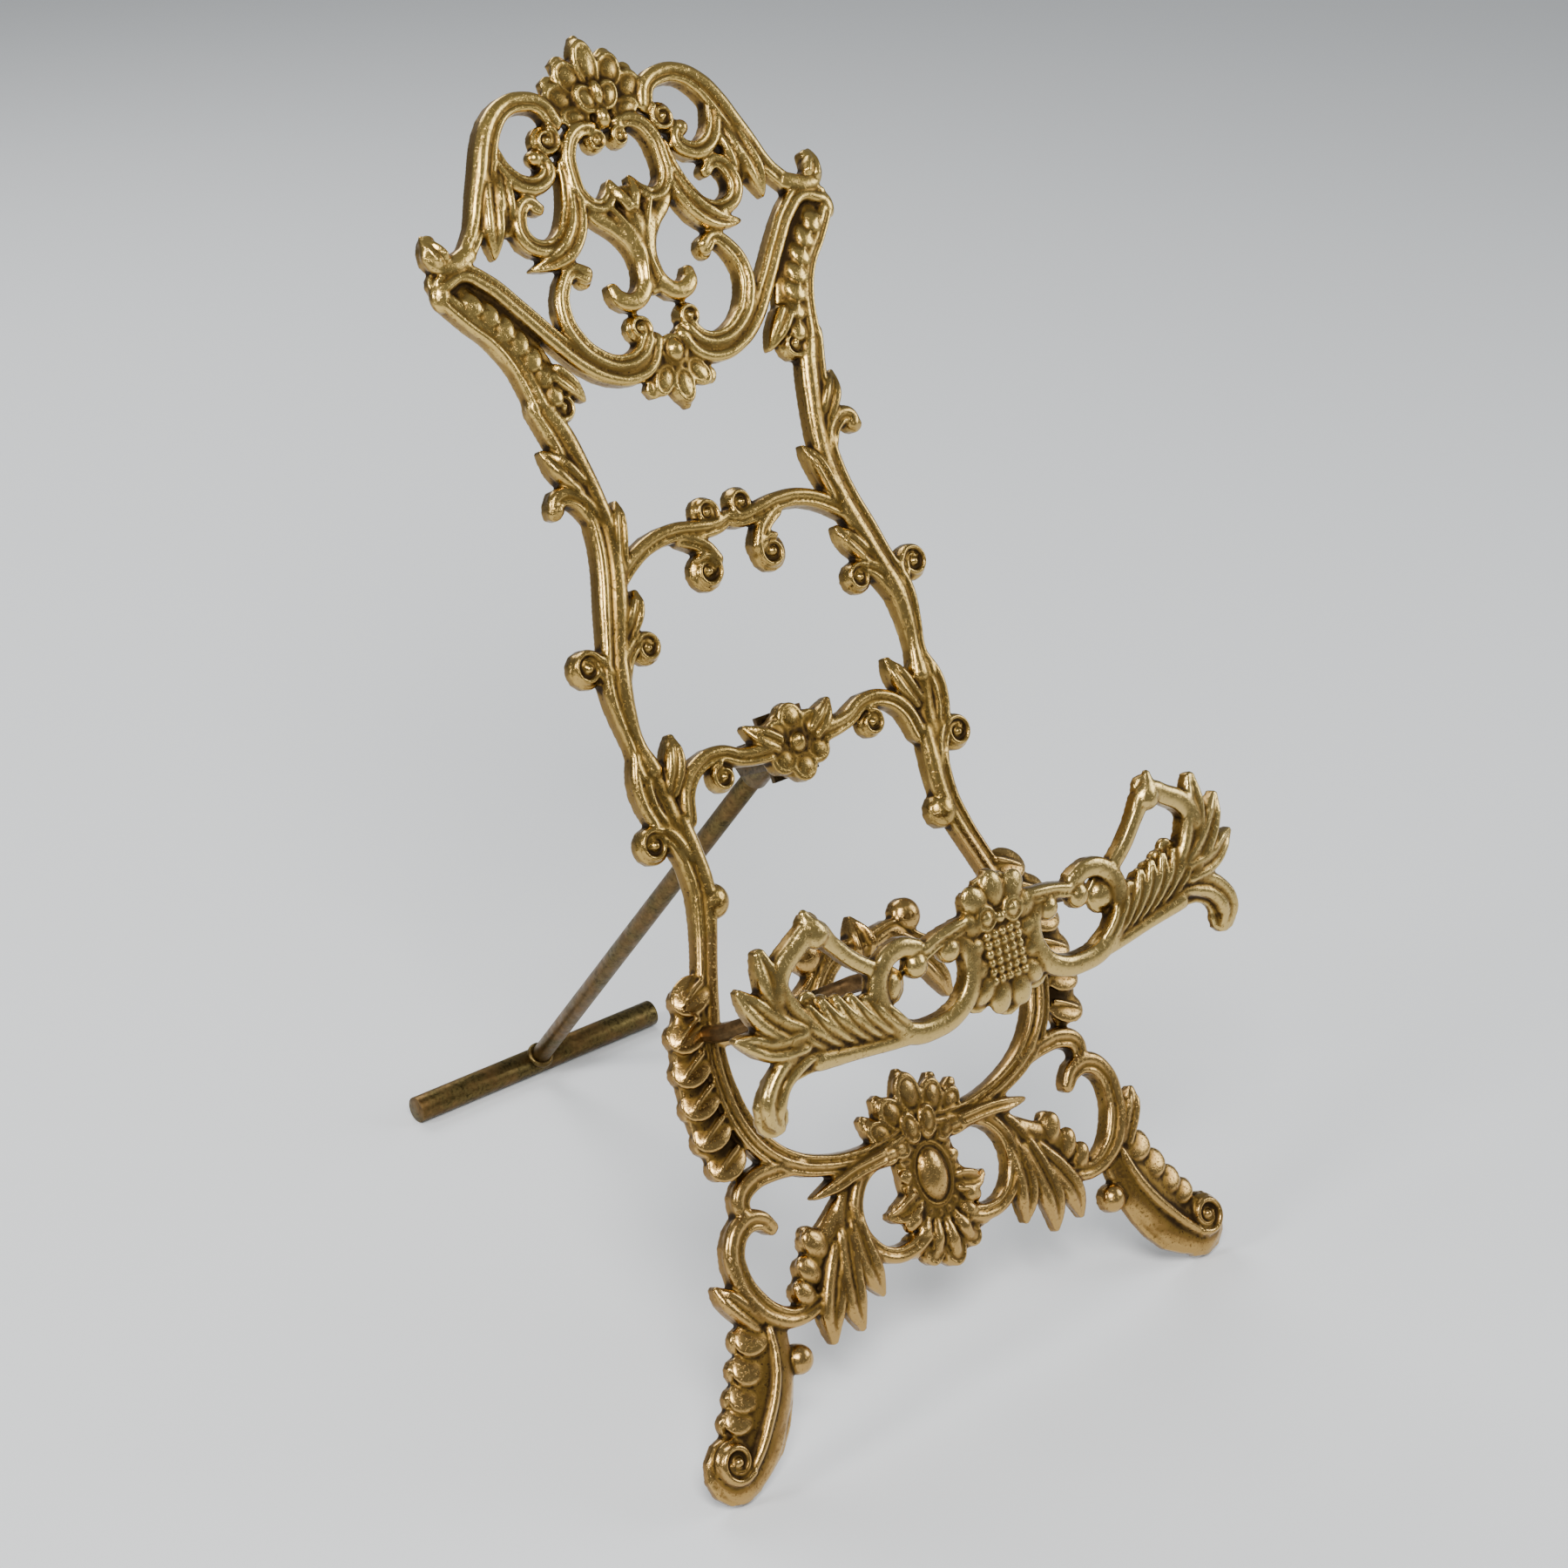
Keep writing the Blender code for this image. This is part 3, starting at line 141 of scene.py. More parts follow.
APRON = {
    "acanthus": ("dome", 1.3, [(49.8, 111, 3.4), (53.2, 104, 4.4), (55.2, 96, 4.6), (55.6, 88, 4.6),
        (55.2, 80, 4.5), (53.4, 73, 4)]),
    "rib_band": ("ribs", 2.4, [(47.4, 104, 2.8), (48.6, 96, 3), (48.6, 88, 3.2), (47, 80, 3.3),
        (43.4, 73, 3.3), (37.4, 67.4, 3), (29.6, 63.7, 2.7), (21, 61.6, 2.5), (12, 61, 2.6), (5, 62, 2.6)]),
    "upper_hook": ("scroll", 2.3, [(35, 65.8, 2.2), (43, 67.4, 2.5), (49.8, 67.2, 2.7), (53.8, 64.6, 2.6),
        (54.2, 61, 2.2)]),
    "side_scroll": ("scroll", 2.3, [(47.8, 55.4, 1.9), (50.4, 58.2, 2.5), (55.2, 58.8, 2.9),
        (59.6, 54.6, 2.9), (60.3, 48, 2.9), (58.4, 41.6, 3.2), (54, 36.4, 2.9), (47.4, 33.8, 2.3),
        (41, 35, 2.3)]),
    "knee_leaf": ("leaf", 2.3, [(60, 37, 2.4), (63.2, 41.6, 2.8), (65.8, 45.6, 2.4), (67, 47.6, 1.1)]),
    "leg": ("dome", 2.3, [(55.6, 36, 4.2), (59, 28, 6.4), (63, 20.4, 7.2), (67, 14.6, 6.6)]),
    "leg_vein": ("smooth", 3.4, [(57.4, 35, 0.9), (58.6, 28.6, 1.3), (61.4, 22, 1.5), (65.8, 15.6, 1.5),
        (71, 9.6, 1.4), (76, 5.4, 1.1)]),
    "band_tip": ("leaf", 2.3, [(13, 59.4, 2), (22, 59, 2), (28, 58, 1.8), (34, 57.2, 0.5)]),
    "oval_ring": ("scroll", 2.3, [(10, 58.6, 2.2), (17, 58.6, 2.2), (22.4, 54.4, 2.1), (24.6, 47.6, 2.1),
        (22.8, 41, 2.2), (18, 36.9, 2.1), (12.4, 36.2, 2.2), (7, 37.8, 2.2)]),
    "leaf_stem": ("leaf", 1.6, [(20, 58, 2.2), (26.4, 53, 3), (29.4, 46, 3.6), (32.6, 40, 3.6)]),
    "leaf_lobe_a": ("leaf", 2.2, [(25.4, 48, 2.6), (25.8, 40, 3.4), (24.8, 34, 3.1), (23.4, 29.6, 1.0)]),
    "leaf_lobe_b": ("leaf", 2.3, [(29.6, 46, 3), (31.6, 37, 3.6), (32.4, 30, 3.3), (31.7, 24.4, 1.0)]),
    "leaf_lobe_c": ("leaf", 2.2, [(32.4, 44, 3), (37, 36.4, 3.7), (39.6, 30, 3.3), (40.3, 24.6, 1.0)]),
    "leaf_shoulder": ("dome", 1.5, [(27.4, 53, 2.4), (32, 49, 3.2), (37, 46, 3.4), (42, 41, 3),
        (45.4, 37.6, 2.4)]),
    "leaf_bridge": ("dome", 1.0, [(33, 42, 2.8), (38, 37, 2.6), (44, 34.4, 2.4)]),
    "upper_petal": ("dome", 0.8, [(0, 60, 5), (0, 69, 4.6), (0, 74.6, 2.4), (0, 76.2, 1)]),
    "upper_petal_2": ("dome", 0.7, [(3, 61, 3.2), (7, 67.6, 3.4), (8.6, 71.6, 1.8)]),
    "upper_petal_3": ("dome", 0.7, [(5, 60, 3), (11, 64.6, 3.4), (14, 68.6, 1.6)]),
    "boss_plate": ("dome", 0.8, [(0, 60, 8.4), (0, 50, 9.4), (0, 42, 8.6)]),
    "side_petal": ("petal", 1.8, [(8, 46, 3), (12.6, 44.8, 2.4), (14.6, 45.2, 1.2)]),
    "foot_sole": ("dome", 2.2, [(60, 26, 6.2), (66, 15.4, 7), (71.5, 10.4, 7.6), (75.6, 8.5, 7.7)]),
}
GALLERY = {
    "shield": ("dome", 0.6, [(0, 9, 7.2), (0, 0, 9.2), (0, -8, 7.6)]),
    "joining_band": ("scroll", 2.2, [(10.6, 6.9, 1.9), (14, 6.5, 2), (18, 5.8, 1.9), (22, 4.6, 1.9)]),
    "ring": ("smooth", 2.1, [(12.6, 4.6, 2), (9.6, 0, 2.5), (10.6, -6.6, 2.6), (15.6, -11.4, 2.6),
        (23, -12.9, 2.6), (30.6, -11.4, 2.7), (35.6, -6.4, 2.7), (37.2, 0, 2.7), (34.6, 5.4, 2.5),
        (29, 7.6, 2.4), (24, 6, 2.2)]),
    "rod_loop": ("smooth", 2.1, [(35.6, 4.6, 1.9), (41.6, 9, 1.9), (46.8, 14.6, 2), (51, 19, 2.6),
        (57, 16.6, 2.6), (62, 13, 2.8), (64.4, 8, 3)]),
    "plume": ("dome", 0.7, [(28, -12, 2.4), (38, -9, 4.4), (46, -6.2, 6), (54, -4, 7.4), (61, -1.6, 6.6),
        (66, 1, 4)]),
    "plume_leaf_1": ("leaf", 2.3, [(58, -2, 3.6), (62.6, 5, 3.8), (65, 13, 3.4), (65.8, 18, 1.8)]),
    "plume_leaf_2": ("leaf", 2.3, [(60, -2, 3.4), (67, 3.6, 3.4), (71, 9, 2.6), (72.8, 11.8, 1.2)]),
    "plume_leaf_3": ("leaf", 2.3, [(60, -3, 3.2), (68, -2, 3), (73, 1, 2.2), (75.6, 2.2, 1)]),
}
# coils: name: (x, v, radius, angle where the coil starts, turning left or right[, width of the coil, lift])
VOLUTES = {
    "lyre": (3.5, 305.6, 2.9, 80, 1), "vase": (7.4, 261.4, 3.5, 250, -1),
    "arch": (16.9, 308, 3.9, 120, 1), "shoulder": (34.6, 248.6, 4.0, 40, -1),
    "outer_neck": (49.6, 190.2, 4.7, 160, -1), "inner_neck": (32.4, 190.6, 4.1, 40, 1),
    "low": (47, 147.4, 4.6, 130, -1), "arch_end": (5.2, 216.3, 3.9, 270, -1),
    "hanging": (9.7, 203, 4.8, 60, 1), "rail": (23, 156.7, 3.8, 90, -1),
    "foot": (76.9, 10.6, 5.6, 230, 1, 0.22, 1.5),
}
# beads: (x, v, radius, rise)
BEADS = [(44.6, 226.6, 2.2, 2.4), (35.8, 130.6, 4.3, 3.0), (15.8, 110.4, 4.3, 3.0), (51.2, 24.6, 3.6, 3.0),
         (21.4, 304.6, 2.1, 2.5), (54.4, 61.2, 2.0, 2.3)]
GALLERY_BEADS = [(15.2, 2.6, 3.1, 2.6), (25, 2.4, 3.2, 2.6), (33, 0, 3.4, 1.6)]
HUSKS = 7                        # on each shoulder panel
COIL_STEPS, COIL_TURNS = 12, 1.35
# the depth below the neighbours darkens the brass as patina and painted shade in the hollows
HOLLOWS = ((6, 1.3), (24, 0.6), (110, 0.42))  # fine, middling and broad: smoothing passes, and weight
PETAL_RIM = 0.18                 # half the rim's width, as a share of the petal's own half width
ROSETTE = (158.6, 6.0, 3.7)      # height of its middle, reach and radius of its six petals
CABOCHON = (50.5, 4.9, 7.2)      # height of its middle, half its width and half its height

# cross-sections: (sideways, up), from the outside of the bend to the inside
SECTIONS = {
    "scroll": [(-1, 0.3), (-0.94, 0.6), (-0.78, 0.85), (-0.5, 1.0), (-0.2, 0.99), (0.04, 0.9), (0.17, 0.78),
               (0.28, 0.7), (0.38, 0.76), (0.52, 0.86), (0.68, 0.88), (0.86, 0.72), (1, 0.3)],
    "leaf": [(-1, 0.3), (-0.9, 0.68), (-0.68, 0.94), (-0.42, 0.94), (-0.16, 0.84), (0, 0.7), (0.16, 0.84),
             (0.42, 0.94), (0.68, 0.94), (0.9, 0.68), (1, 0.3)],
    "petal": [(-1, 0.3), (-0.92, 0.72), (-0.76, 1.0), (-0.58, 0.96), (-0.3, 0.68), (0, 0.6), (0.3, 0.68),
              (0.58, 0.96), (0.76, 1.0), (0.92, 0.72), (1, 0.3)],
    "ribs": [(-1, 0.3), (-0.92, 0.7), (-0.78, 0.88), (-0.62, 0.84), (-0.5, 0.66), (-0.4, 0.7), (-0.2, 0.96),
             (0.05, 0.98), (0.25, 0.8), (0.35, 0.6), (0.45, 0.66), (0.62, 0.86), (0.82, 0.84), (1, 0.3)],
    "dome": [(-1, 0.15), (-0.88, 0.45), (-0.65, 0.74), (-0.35, 0.93), (0, 1.0), (0.35, 0.93), (0.65, 0.74),
             (0.88, 0.45), (1, 0.15)],
    "smooth": [(-1, 0.3), (-0.93, 0.62), (-0.75, 0.85), (-0.42, 0.98), (0, 1.03), (0.42, 0.98), (0.75, 0.85),
               (0.93, 0.62), (1, 0.3)],
}


# ---- laying ornament ---------------------------------------------------------------------------
def pick_only(items):
    """Selects these objects alone, the first one active."""
    bpy.ops.object.select_all(action="DESELECT")
    for item in items:
        item.select_set(True)
    bpy.context.view_layer.objects.active = items[0]


def section(form, rise, turned):
    """A closed cross-section curve, one unit to each side, as high as rise, with a foot below."""
    loop = [(x * turned, y * rise) for x, y in SECTIONS[form]]
    loop += [(0.85 * turned, -0.4), (-0.85 * turned, -0.4)]
    data = bpy.data.curves.new("section", "CURVE")
    data.dimensions = "2D"
    line = data.splines.new("POLY")
    line.points.add(len(loop) - 1)
    for point, (x, y) in zip(line.points, loop):
        point.co = (x, y, 0, 1)
    line.use_cyclic_u = True
    item = bpy.data.objects.new("section", data)
    bpy.context.scene.collection.objects.link(item)
    return item


def bends_right(points):
    """1 where the line bends to the right on the whole, -1 where it bends to the left."""
    bend = 0.0
    for a, b, c in zip(points, points[1:], points[2:]):
        bend += (b[0] - a[0]) * (c[1] - b[1]) - (b[1] - a[1]) * (c[0] - b[0])
    return 1 if bend < 0 else -1


def rounded_ends(points):
    """The drawn points with each end run out to a round tip."""
    def tip(end, inner):
        run = Vector((end[0] - inner[0], end[1] - inner[1])).normalized()
        half = end[2]
        return [(end[0] + run.x * out * half, end[1] + run.y * out * half, half * width)
                for out, width in ((0.5, 0.86), (0.85, 0.5), (1.0, 0.08))]
    return tip(points[0], points[1])[::-1] + list(points) + tip(points[-1], points[-2])


def lay_line(name, form, rise, points, ground=GROUND, mirror=True):
    """One drawn line as a solid bar of the given section; the other half's line too, if it has one."""
    made = []
    mean = sum(p[2] for p in points) / len(points)
    sides = (1, -1) if mirror and any(p[0] for p in points) else (1,)
    shapes = []
    for side in sides:
        shape = section(form, rise / mean, side * bends_right(points))
        shapes.append(shape)
        data = bpy.data.curves.new(name, "CURVE")
        data.dimensions = "3D"
        data.twist_mode = "Z_UP"
        data.bevel_mode = "OBJECT"
        data.bevel_object = shape
        data.use_fill_caps = True
        data.resolution_u = 6
        line = data.splines.new("BEZIER")
        line.radius_interpolation = "CARDINAL"
        ended = rounded_ends(points)
        line.bezier_points.add(len(ended) - 1)
        for point, (x, v, half) in zip(line.bezier_points, ended):
            point.co = (side * x, v, ground)
            point.radius = half
            point.handle_left_type = point.handle_right_type = "AUTO"
        item = bpy.data.objects.new(name, data)
        bpy.context.scene.collection.objects.link(item)
        made.append(item)
    pick_only(made)
    bpy.ops.object.convert(target="MESH")
    for shape in shapes:
        bpy.data.objects.remove(shape)
    return made


def lay_dome(x, v, across, along, rise, turn=0.0, ground=GROUND, lift=0.0, tip=0.0, roll=0.0):
    """A rounded lump, turned in the plane, with its far end tipped up or rolled to one side.
    Mirrored if off the middle."""
    made = []
    for side in ((1, -1) if x else (1,)):
        bpy.ops.mesh.primitive_uv_sphere_add(segments=24, ring_count=14, radius=1)
        ball = bpy.context.object
        ball.data.transform(Matrix.Translation((side * x, v, ground + lift))
                            @ Matrix.Rotation(side * turn, 4, "Z") @ Matrix.Rotation(side * roll, 4, "Y")
                            @ Matrix.Rotation(tip, 4, "X") @ Matrix.Diagonal((across, along, rise, 1)))
        made.append(ball)
    return made


def new_ring(radius, thick):
    """A ring lying flat round the origin, from its reach to mid bar and half its bar's width."""
    bpy.ops.mesh.primitive_torus_add(major_radius=radius, minor_radius=thick, major_segments=40,
                                     minor_segments=12)
    return bpy.context.object


def lay_ring(x, v, radius, thick, rise, squash=1.0, ground=GROUND, lift=0.0):
    """A raised ring, round or squashed to an oval.  Mirrored if off the middle."""
    made = []
    for side in ((1, -1) if x else (1,)):
        ring = new_ring(radius, thick)
        ring.data.transform(Matrix.Translation((side * x, v, ground + lift))
                            @ Matrix.Diagonal((1, squash, rise / thick, 1)))
        made.append(ring)
    return made


def lay_petal(x, v, across, along, turn, rise=2.0, ground=GROUND, lift=0.0):
    """A rounded, slightly cupped petal with a raised rim."""
    made = lay_dome(x, v, across * 0.95, along * 0.95, rise * 0.8, turn, ground, lift)
    for side in ((1, -1) if x else (1,)):
        rim = new_ring(1 - PETAL_RIM, PETAL_RIM)
        rim.data.transform(Matrix.Translation((side * x, v, ground + lift + rise * 0.3))
                           @ Matrix.Rotation(side * turn, 4, "Z")
                           @ Matrix.Diagonal((across, along, rise * 0.42 / PETAL_RIM, 1)))
        made.append(rim)
    return made


def lay_volute(x, v, radius, start, hand, width=0.21, lift=0.0):
    """A coil that winds in to a ball, on a low round ground."""
    coil = []
    for step in range(COIL_STEPS + 1):
        t = step / COIL_STEPS
        angle = radians(start) + hand * t * 2 * pi * COIL_TURNS
        reach = radius * (0.84 - 0.5 * t)
        coil.append((x + reach * cos(angle), v + reach * sin(angle), radius * width * (1 - 0.33 * t)))
    rise = 1.5 + 0.16 * radius
    made = lay_line("coil", "dome", rise * 0.82, coil, GROUND + lift + 0.3)
    made += lay_dome(x, v, radius * 0.98, radius * 0.98, 1.2, lift=lift)
    made += lay_dome(x, v, radius * 0.3, radius * 0.3, rise + 0.3, lift=lift)
    return made


def husks_along(points, count, rise):
    """Overlapping husk scales down a line: each is a rounded scale tipped up at its lower end."""
    made = []
    spans = [Vector(p[:2]) for p in points]
    lengths = [0.0]
    for a, b in zip(spans, spans[1:]):
        lengths.append(lengths[-1] + (b - a).length)
    for k in range(count):
        want = lengths[-1] * (k + 0.35) / count
        i = max(j for j in range(len(lengths) - 1) if lengths[j] <= want)
        t = (want - lengths[i]) / (lengths[i + 1] - lengths[i])
        here = spans[i].lerp(spans[i + 1], t)
        run = (spans[i + 1] - spans[i]).normalized()
        width = 0.72 * (points[i][2] * (1 - t) + points[i + 1][2] * t)
        turn = np.arctan2(-run.x, run.y)
        long = lengths[-1] / count
        made += lay_dome(here.x, here.y, width, long * 0.92, rise, turn, lift=0.65, tip=0.36)
        made += lay_dome(here.x, here.y, width * 0.34, long * 0.7, rise * 1.12, turn, lift=0.7,
                         tip=0.36)
    return made


def lay_rosette():
    """Six cupped petals round a pear-shaped knob."""
    height, reach, radius = ROSETTE
    made = lay_dome(0, height, reach + radius * 0.7, reach + radius * 0.7, 1.0)
    for k in range(6):
        angle = pi / 2 + k * pi / 3
        x, v = reach * cos(angle), height + reach * sin(angle)
        for item in lay_petal(0, 0, radius, radius * 0.98, angle - pi / 2, 1.9, GROUND, 0.4):
            item.data.transform(Matrix.Translation((x, v, 0)))
            made.append(item)
    made += lay_dome(0, height, 2.7, 2.7, 2.6, lift=0.6) + lay_dome(0, height + 0.3, 1.6, 2.0, 1.9, lift=1.7)
    return made


def lay_cabochon():
    """The oval stone of the apron in its ring of small petals, with a shell fanned out below it."""
    height, across, along = CABOCHON
    made = lay_dome(0, height, across, along, 3.1)
    made += lay_ring(0, height, across + 0.5, 0.7, 1.4, squash=(along + 0.5) / (across + 0.5), lift=0.2)
    for k in range(16):
        angle = 2 * pi * (k + 0.5) / 16
        x, v = (across + 2.3) * cos(angle), (along + 2.3) * sin(angle)
        turn = np.arctan2(v, x) - pi / 2
        bead = lay_petal(0, 0, 1.75, 2.4, 0, 1.9)
        for item in bead:
            item.data.transform(Matrix.Translation((x, height + v, 0)) @ Matrix.Rotation(turn, 4, "Z"))
        made += bead
    made += lay_petal(0, 70.6, 3.9, 5.6, 0, 2.4) + lay_petal(6.2, 67.6, 3.6, 5.0, radians(-26), 2.3)
    made += lay_petal(10.8, 64.4, 3.1, 4.8, radians(-50), 2.1)
    made += lay_petal(2.7, 63.0, 2.7, 4.2, radians(-12), 2.3, lift=0.6)
    made += lay_petal(7.6, 59.6, 2.3, 3.8, radians(-56), 2.2, lift=0.4)
    hub = 46.8                           # the height that the shell's seven rays fan out from
    for k in range(-3, 4):
        angle = radians(-90 + k * 21)
        root, tip = 7.4, 15.4 - abs(k) * 1.1
        ray = [(reach * cos(angle), hub + reach * sin(angle), half)
               for reach, half in ((root, 1.1), (tip * 0.8, 1.9), (tip, 1.6))]
        made += lay_line("shell_ray", "smooth", 2.0, ray, mirror=False)
    for x, v, radius, turn in ((0, 31.6, 4.0, 0), (5.8, 33.4, 3.5, 25), (10.4, 36.4, 3.0, 50)):
        made += lay_petal(x, v, radius * 0.85, radius * 1.1, radians(turn), 2.0)
    return made


def lay_acanthus():
    """Six lobes down the outer edge of the apron, each overlapping the next."""
    made = []
    for k in range(6):
        v = 111.6 - 7.7 * k
        x = (52.0, 56.0, 57.6, 58.0, 57.6, 56.2)[k]
        made += lay_dome(x - 2.1, v + 0.9, 4.5, 5.7, 1.15, radians(-116), lift=0.8, tip=0.06, roll=-0.34)
        crease = [(x - 5.4, v + 3.2, 0.7), (x - 2.2, v + 1.6, 0.6), (x + 1.2, v - 0.6, 0.4)]
        made += lay_line("lobe_crease", "dome", 0.5, crease, GROUND + 1.9)
    return made


def lay_leg():
    """Scales down the outside of the leg, and the knobs on the shoulder of the hanging leaf."""
    made = []
    for x, v, half in ((64.2, 34.2, 3.2), (67.2, 28.4, 3.2), (70.4, 23.0, 3.1), (73.8, 18.6, 2.8)):
        made += lay_dome(x - 2.0, v + 0.4, half * 1.3, half * 1.6, 1.1, radians(-104), lift=0.9, tip=0.06,
                         roll=-0.3)
    for x, v, radius in ((38.4, 48, 3.2), (42.2, 43, 2.9), (45.4, 38.6, 2.6)):
        made += lay_dome(x - 1.0, v - 0.6, radius * 1.1, radius * 1.6, 1.8, radians(-40), lift=0.4, tip=0.1,
                         roll=-0.2)
    return made


def lay_finial():
    """The palmette over the crest with its tulip and bead, the points of the horns, the corners of the
    shoulders, the vase, and the boss of the drop with its petals."""
    made = lay_petal(0, 323.4, 3.4, 6.2, 0, 2.4)
    made += lay_petal(5.8, 321.0, 3.7, 4.8, radians(-26), 2.0)
    made += lay_petal(9.8, 316.6, 3.6, 4.6, radians(-52), 1.9)
    made += lay_petal(3.0, 315.4, 2.9, 3.9, radians(-30), 2.3, lift=0.7)
    made += lay_petal(7.2, 311.8, 2.5, 4.2, radians(-78), 2.1, lift=0.2)
    made += lay_dome(0, 316.4, 1.5, 3.2, 2.4, lift=1.4) + lay_dome(0, 310.4, 1.9, 2.7, 2.6, lift=0.9)
    made += lay_line("horn_point", "leaf", 2.3, [(54.6, 287.6, 2.6), (56.2, 290.8, 1.9), (56.9, 293.2, 0.4)])
    made += lay_dome(56.4, 279.4, 2.7, 4.0, 2.3, radians(14)) + lay_dome(51.4, 277.6, 3.4, 3.2, 1.7)
    side = [(5.6, 290.4, 1.6), (4.0, 285.4, 2.4), (1.4, 280, 2.6), (0.9, 274, 2.0)]
    made += lay_line("vase_side", "smooth", 2.3, side)
    front = [(0, 290.6, 2.4), (0, 285, 3.6), (0, 279, 3.0), (0, 271, 2.0)]
    made += lay_line("vase_front", "smooth", 2.2, front)
    made += lay_line("vase_lip", "smooth", 2.4, [(0.6, 289.2, 1.8), (2.4, 292.8, 1.5), (2.9, 296, 0.6)])
    ridge = [(5.8, 289.8, 0.6), (3.4, 285.8, 0.8), (1.3, 281.4, 0.8), (0.9, 276.5, 0.7), (1.9, 271.6, 0.6)]
    made += lay_line("vase_ridge", "dome", 1.0, ridge, GROUND + 1.8)
    made += lay_dome(0, 286.6, 1.5, 3.0, 2.9)
    made += lay_dome(0, 254.6, 3.0, 3.2, 3.0) + lay_ring(0, 254.6, 3.4, 0.7, 1.2, lift=0.5)
    made += lay_petal(0, 246.2, 3.0, 4.6, 0, 2.2) + lay_petal(5.0, 248.4, 2.8, 4.2, radians(38), 2.1)
    made += lay_petal(5.8, 252.6, 2.2, 3.2, radians(72), 1.8)
    return made


def lay_ledge_boss():
    """The eye in the middle of the ledge rail, and the bosses that the ledge rods enter."""
    made = lay_ring(0, 107.6, 3.3, 0.8, 1.6, lift=0.7) + lay_dome(0, 107.6, 2.0, 2.0, 3.0)
    made += lay_dome(49.5, 103, 4.6, 4.6, 1.5) + lay_ring(49.5, 103, 3.3, 0.8, 1.2, lift=0.7)
    return made


def lay_cartouche(ground):
    """The gallery's middle: a netted panel of square beads under a shell, with lobes all round."""
    made = lay_dome(0, -2.5, 7.6, 9.0, 2.0, ground=ground)
    for row in range(6):
        for column in range(5):
            x, v = (column - 2) * 2.3, -8.3 + row * 2.1
            bead = lay_dome(0, 0, 1.1, 1.0, 1.1, ground=ground, lift=1.45 - 0.05 * abs(column - 2))
            bead[0].data.transform(Matrix.Translation((x, v, 0)))
            made += bead
    lobes = ((0, 11.8, 3.5, 4.6, 0), (5.4, 10.2, 3.5, 4.8, -34), (8.0, 5.8, 3.2, 4.4, -68),
             (8.6, 0.6, 2.9, 3.8, -88), (8.4, -4.6, 2.9, 3.8, -100), (7.0, -9.2, 3.0, 4.2, -132),
             (2.9, -12.0, 3.4, 4.6, -166))
    for x, v, across, along, turn in lobes:
        made += lay_dome(x, v, across, along, 1.7, radians(turn), ground, lift=0.5)
    made += lay_dome(4.0, 6.3, 2.1, 2.1, 2.2, ground=ground, lift=0.8)
    made += lay_ring(4.0, 6.3, 2.5, 0.5, 0.8, ground=ground, lift=1.6)
    made += lay_dome(0, 5.6, 1.5, 1.7, 2.0, ground=ground, lift=1.0)
    return made


def lay_plume(ground):
    """Feathered ribs that leave the lower edge of the gallery's plume and sweep up and outwards."""
    edge = [(24, -12.8, 2.0), (34, -12.0, 1.9), (46, -10.4, 1.9), (56, -8.8, 2.4)]
    made = lay_line("plume_edge", "smooth", 2.1, edge, ground)
    for k in range(7):
        x, v = 28.5 + 3.9 * k, -11.4 + 0.75 * k
        reach = 8.2 + 3.6 * sin(pi * (0.1 + 0.13 * k))
        rib = [(x, v, 1.1), (x + 3.6, v + reach * 0.26, 1.9), (x + 6.6, v + reach * 0.62, 2.1),
               (x + 8.4, v + reach, 1.3)]
        made += lay_line("plume_rib", "leaf", 2.2, rib, ground)
    tip = [(50.6, 17.6, 3.0), (51.8, 20.6, 2.4), (52.4, 23.0, 1.2)]
    made += lay_line("loop_tip", "smooth", 2.2, tip, ground)
    tail = [(54, -5.6, 2.4), (62, -6.6, 3.2), (68, -10, 3.4), (70.6, -15.6, 3.2), (69.2, -19.6, 1.4)]
    made += lay_line("hook_tail", "leaf", 2.3, tail, ground)
    return made


# ---- the castings ------------------------------------------------------------------------------
def frame_place(low):
    """From millimetres in the frame's plane to the row frame."""
    foot = Vector((0, low[1], low[2] + PLATE * MM * sin(LEAN)))
    return Matrix.Translation(foot) @ Matrix.Rotation(pi / 2 - LEAN, 4, "X") @ Matrix.Scale(MM, 4)


def gallery_place(frame_at):
    """From millimetres in the gallery's plane to the row frame."""
    return frame_at @ Matrix.Translation((0, GALLERY_V, GALLERY_W)) @ Matrix.Rotation(GALLERY_TILT, 4, "X")


def ground_plate(node, place, ground):
    """The casting's outline as a plate, with its front cut down to the ground."""
    data = node.data.copy()
    plate = bpy.data.objects.new("ground", data)
    bpy.context.scene.collection.objects.link(plate)
    data.transform(place.inverted())
    for vertex in data.vertices:
        vertex.co.z = min(vertex.co.z, ground)
    return plate


def cast(name, items, thickness):
    """Runs the laid pieces together as one skin, flat across the back."""
    pick_only(items)
    bpy.ops.object.join()
    casting = bpy.context.object
    casting.name = name
    for vertex in casting.data.vertices:
        vertex.co.z = max(vertex.co.z, -thickness)
    skin = casting.modifiers.new("skin", "REMESH")
    skin.mode = "VOXEL"
    skin.voxel_size = SKIN
    skin.use_smooth_shade = True
    soften = casting.modifiers.new("soften", "SMOOTH")
    soften.factor, soften.iterations = 0.5, 3
    for modifier in ("skin", "soften"):
        bpy.ops.object.modifier_apply(modifier=modifier)
    return casting


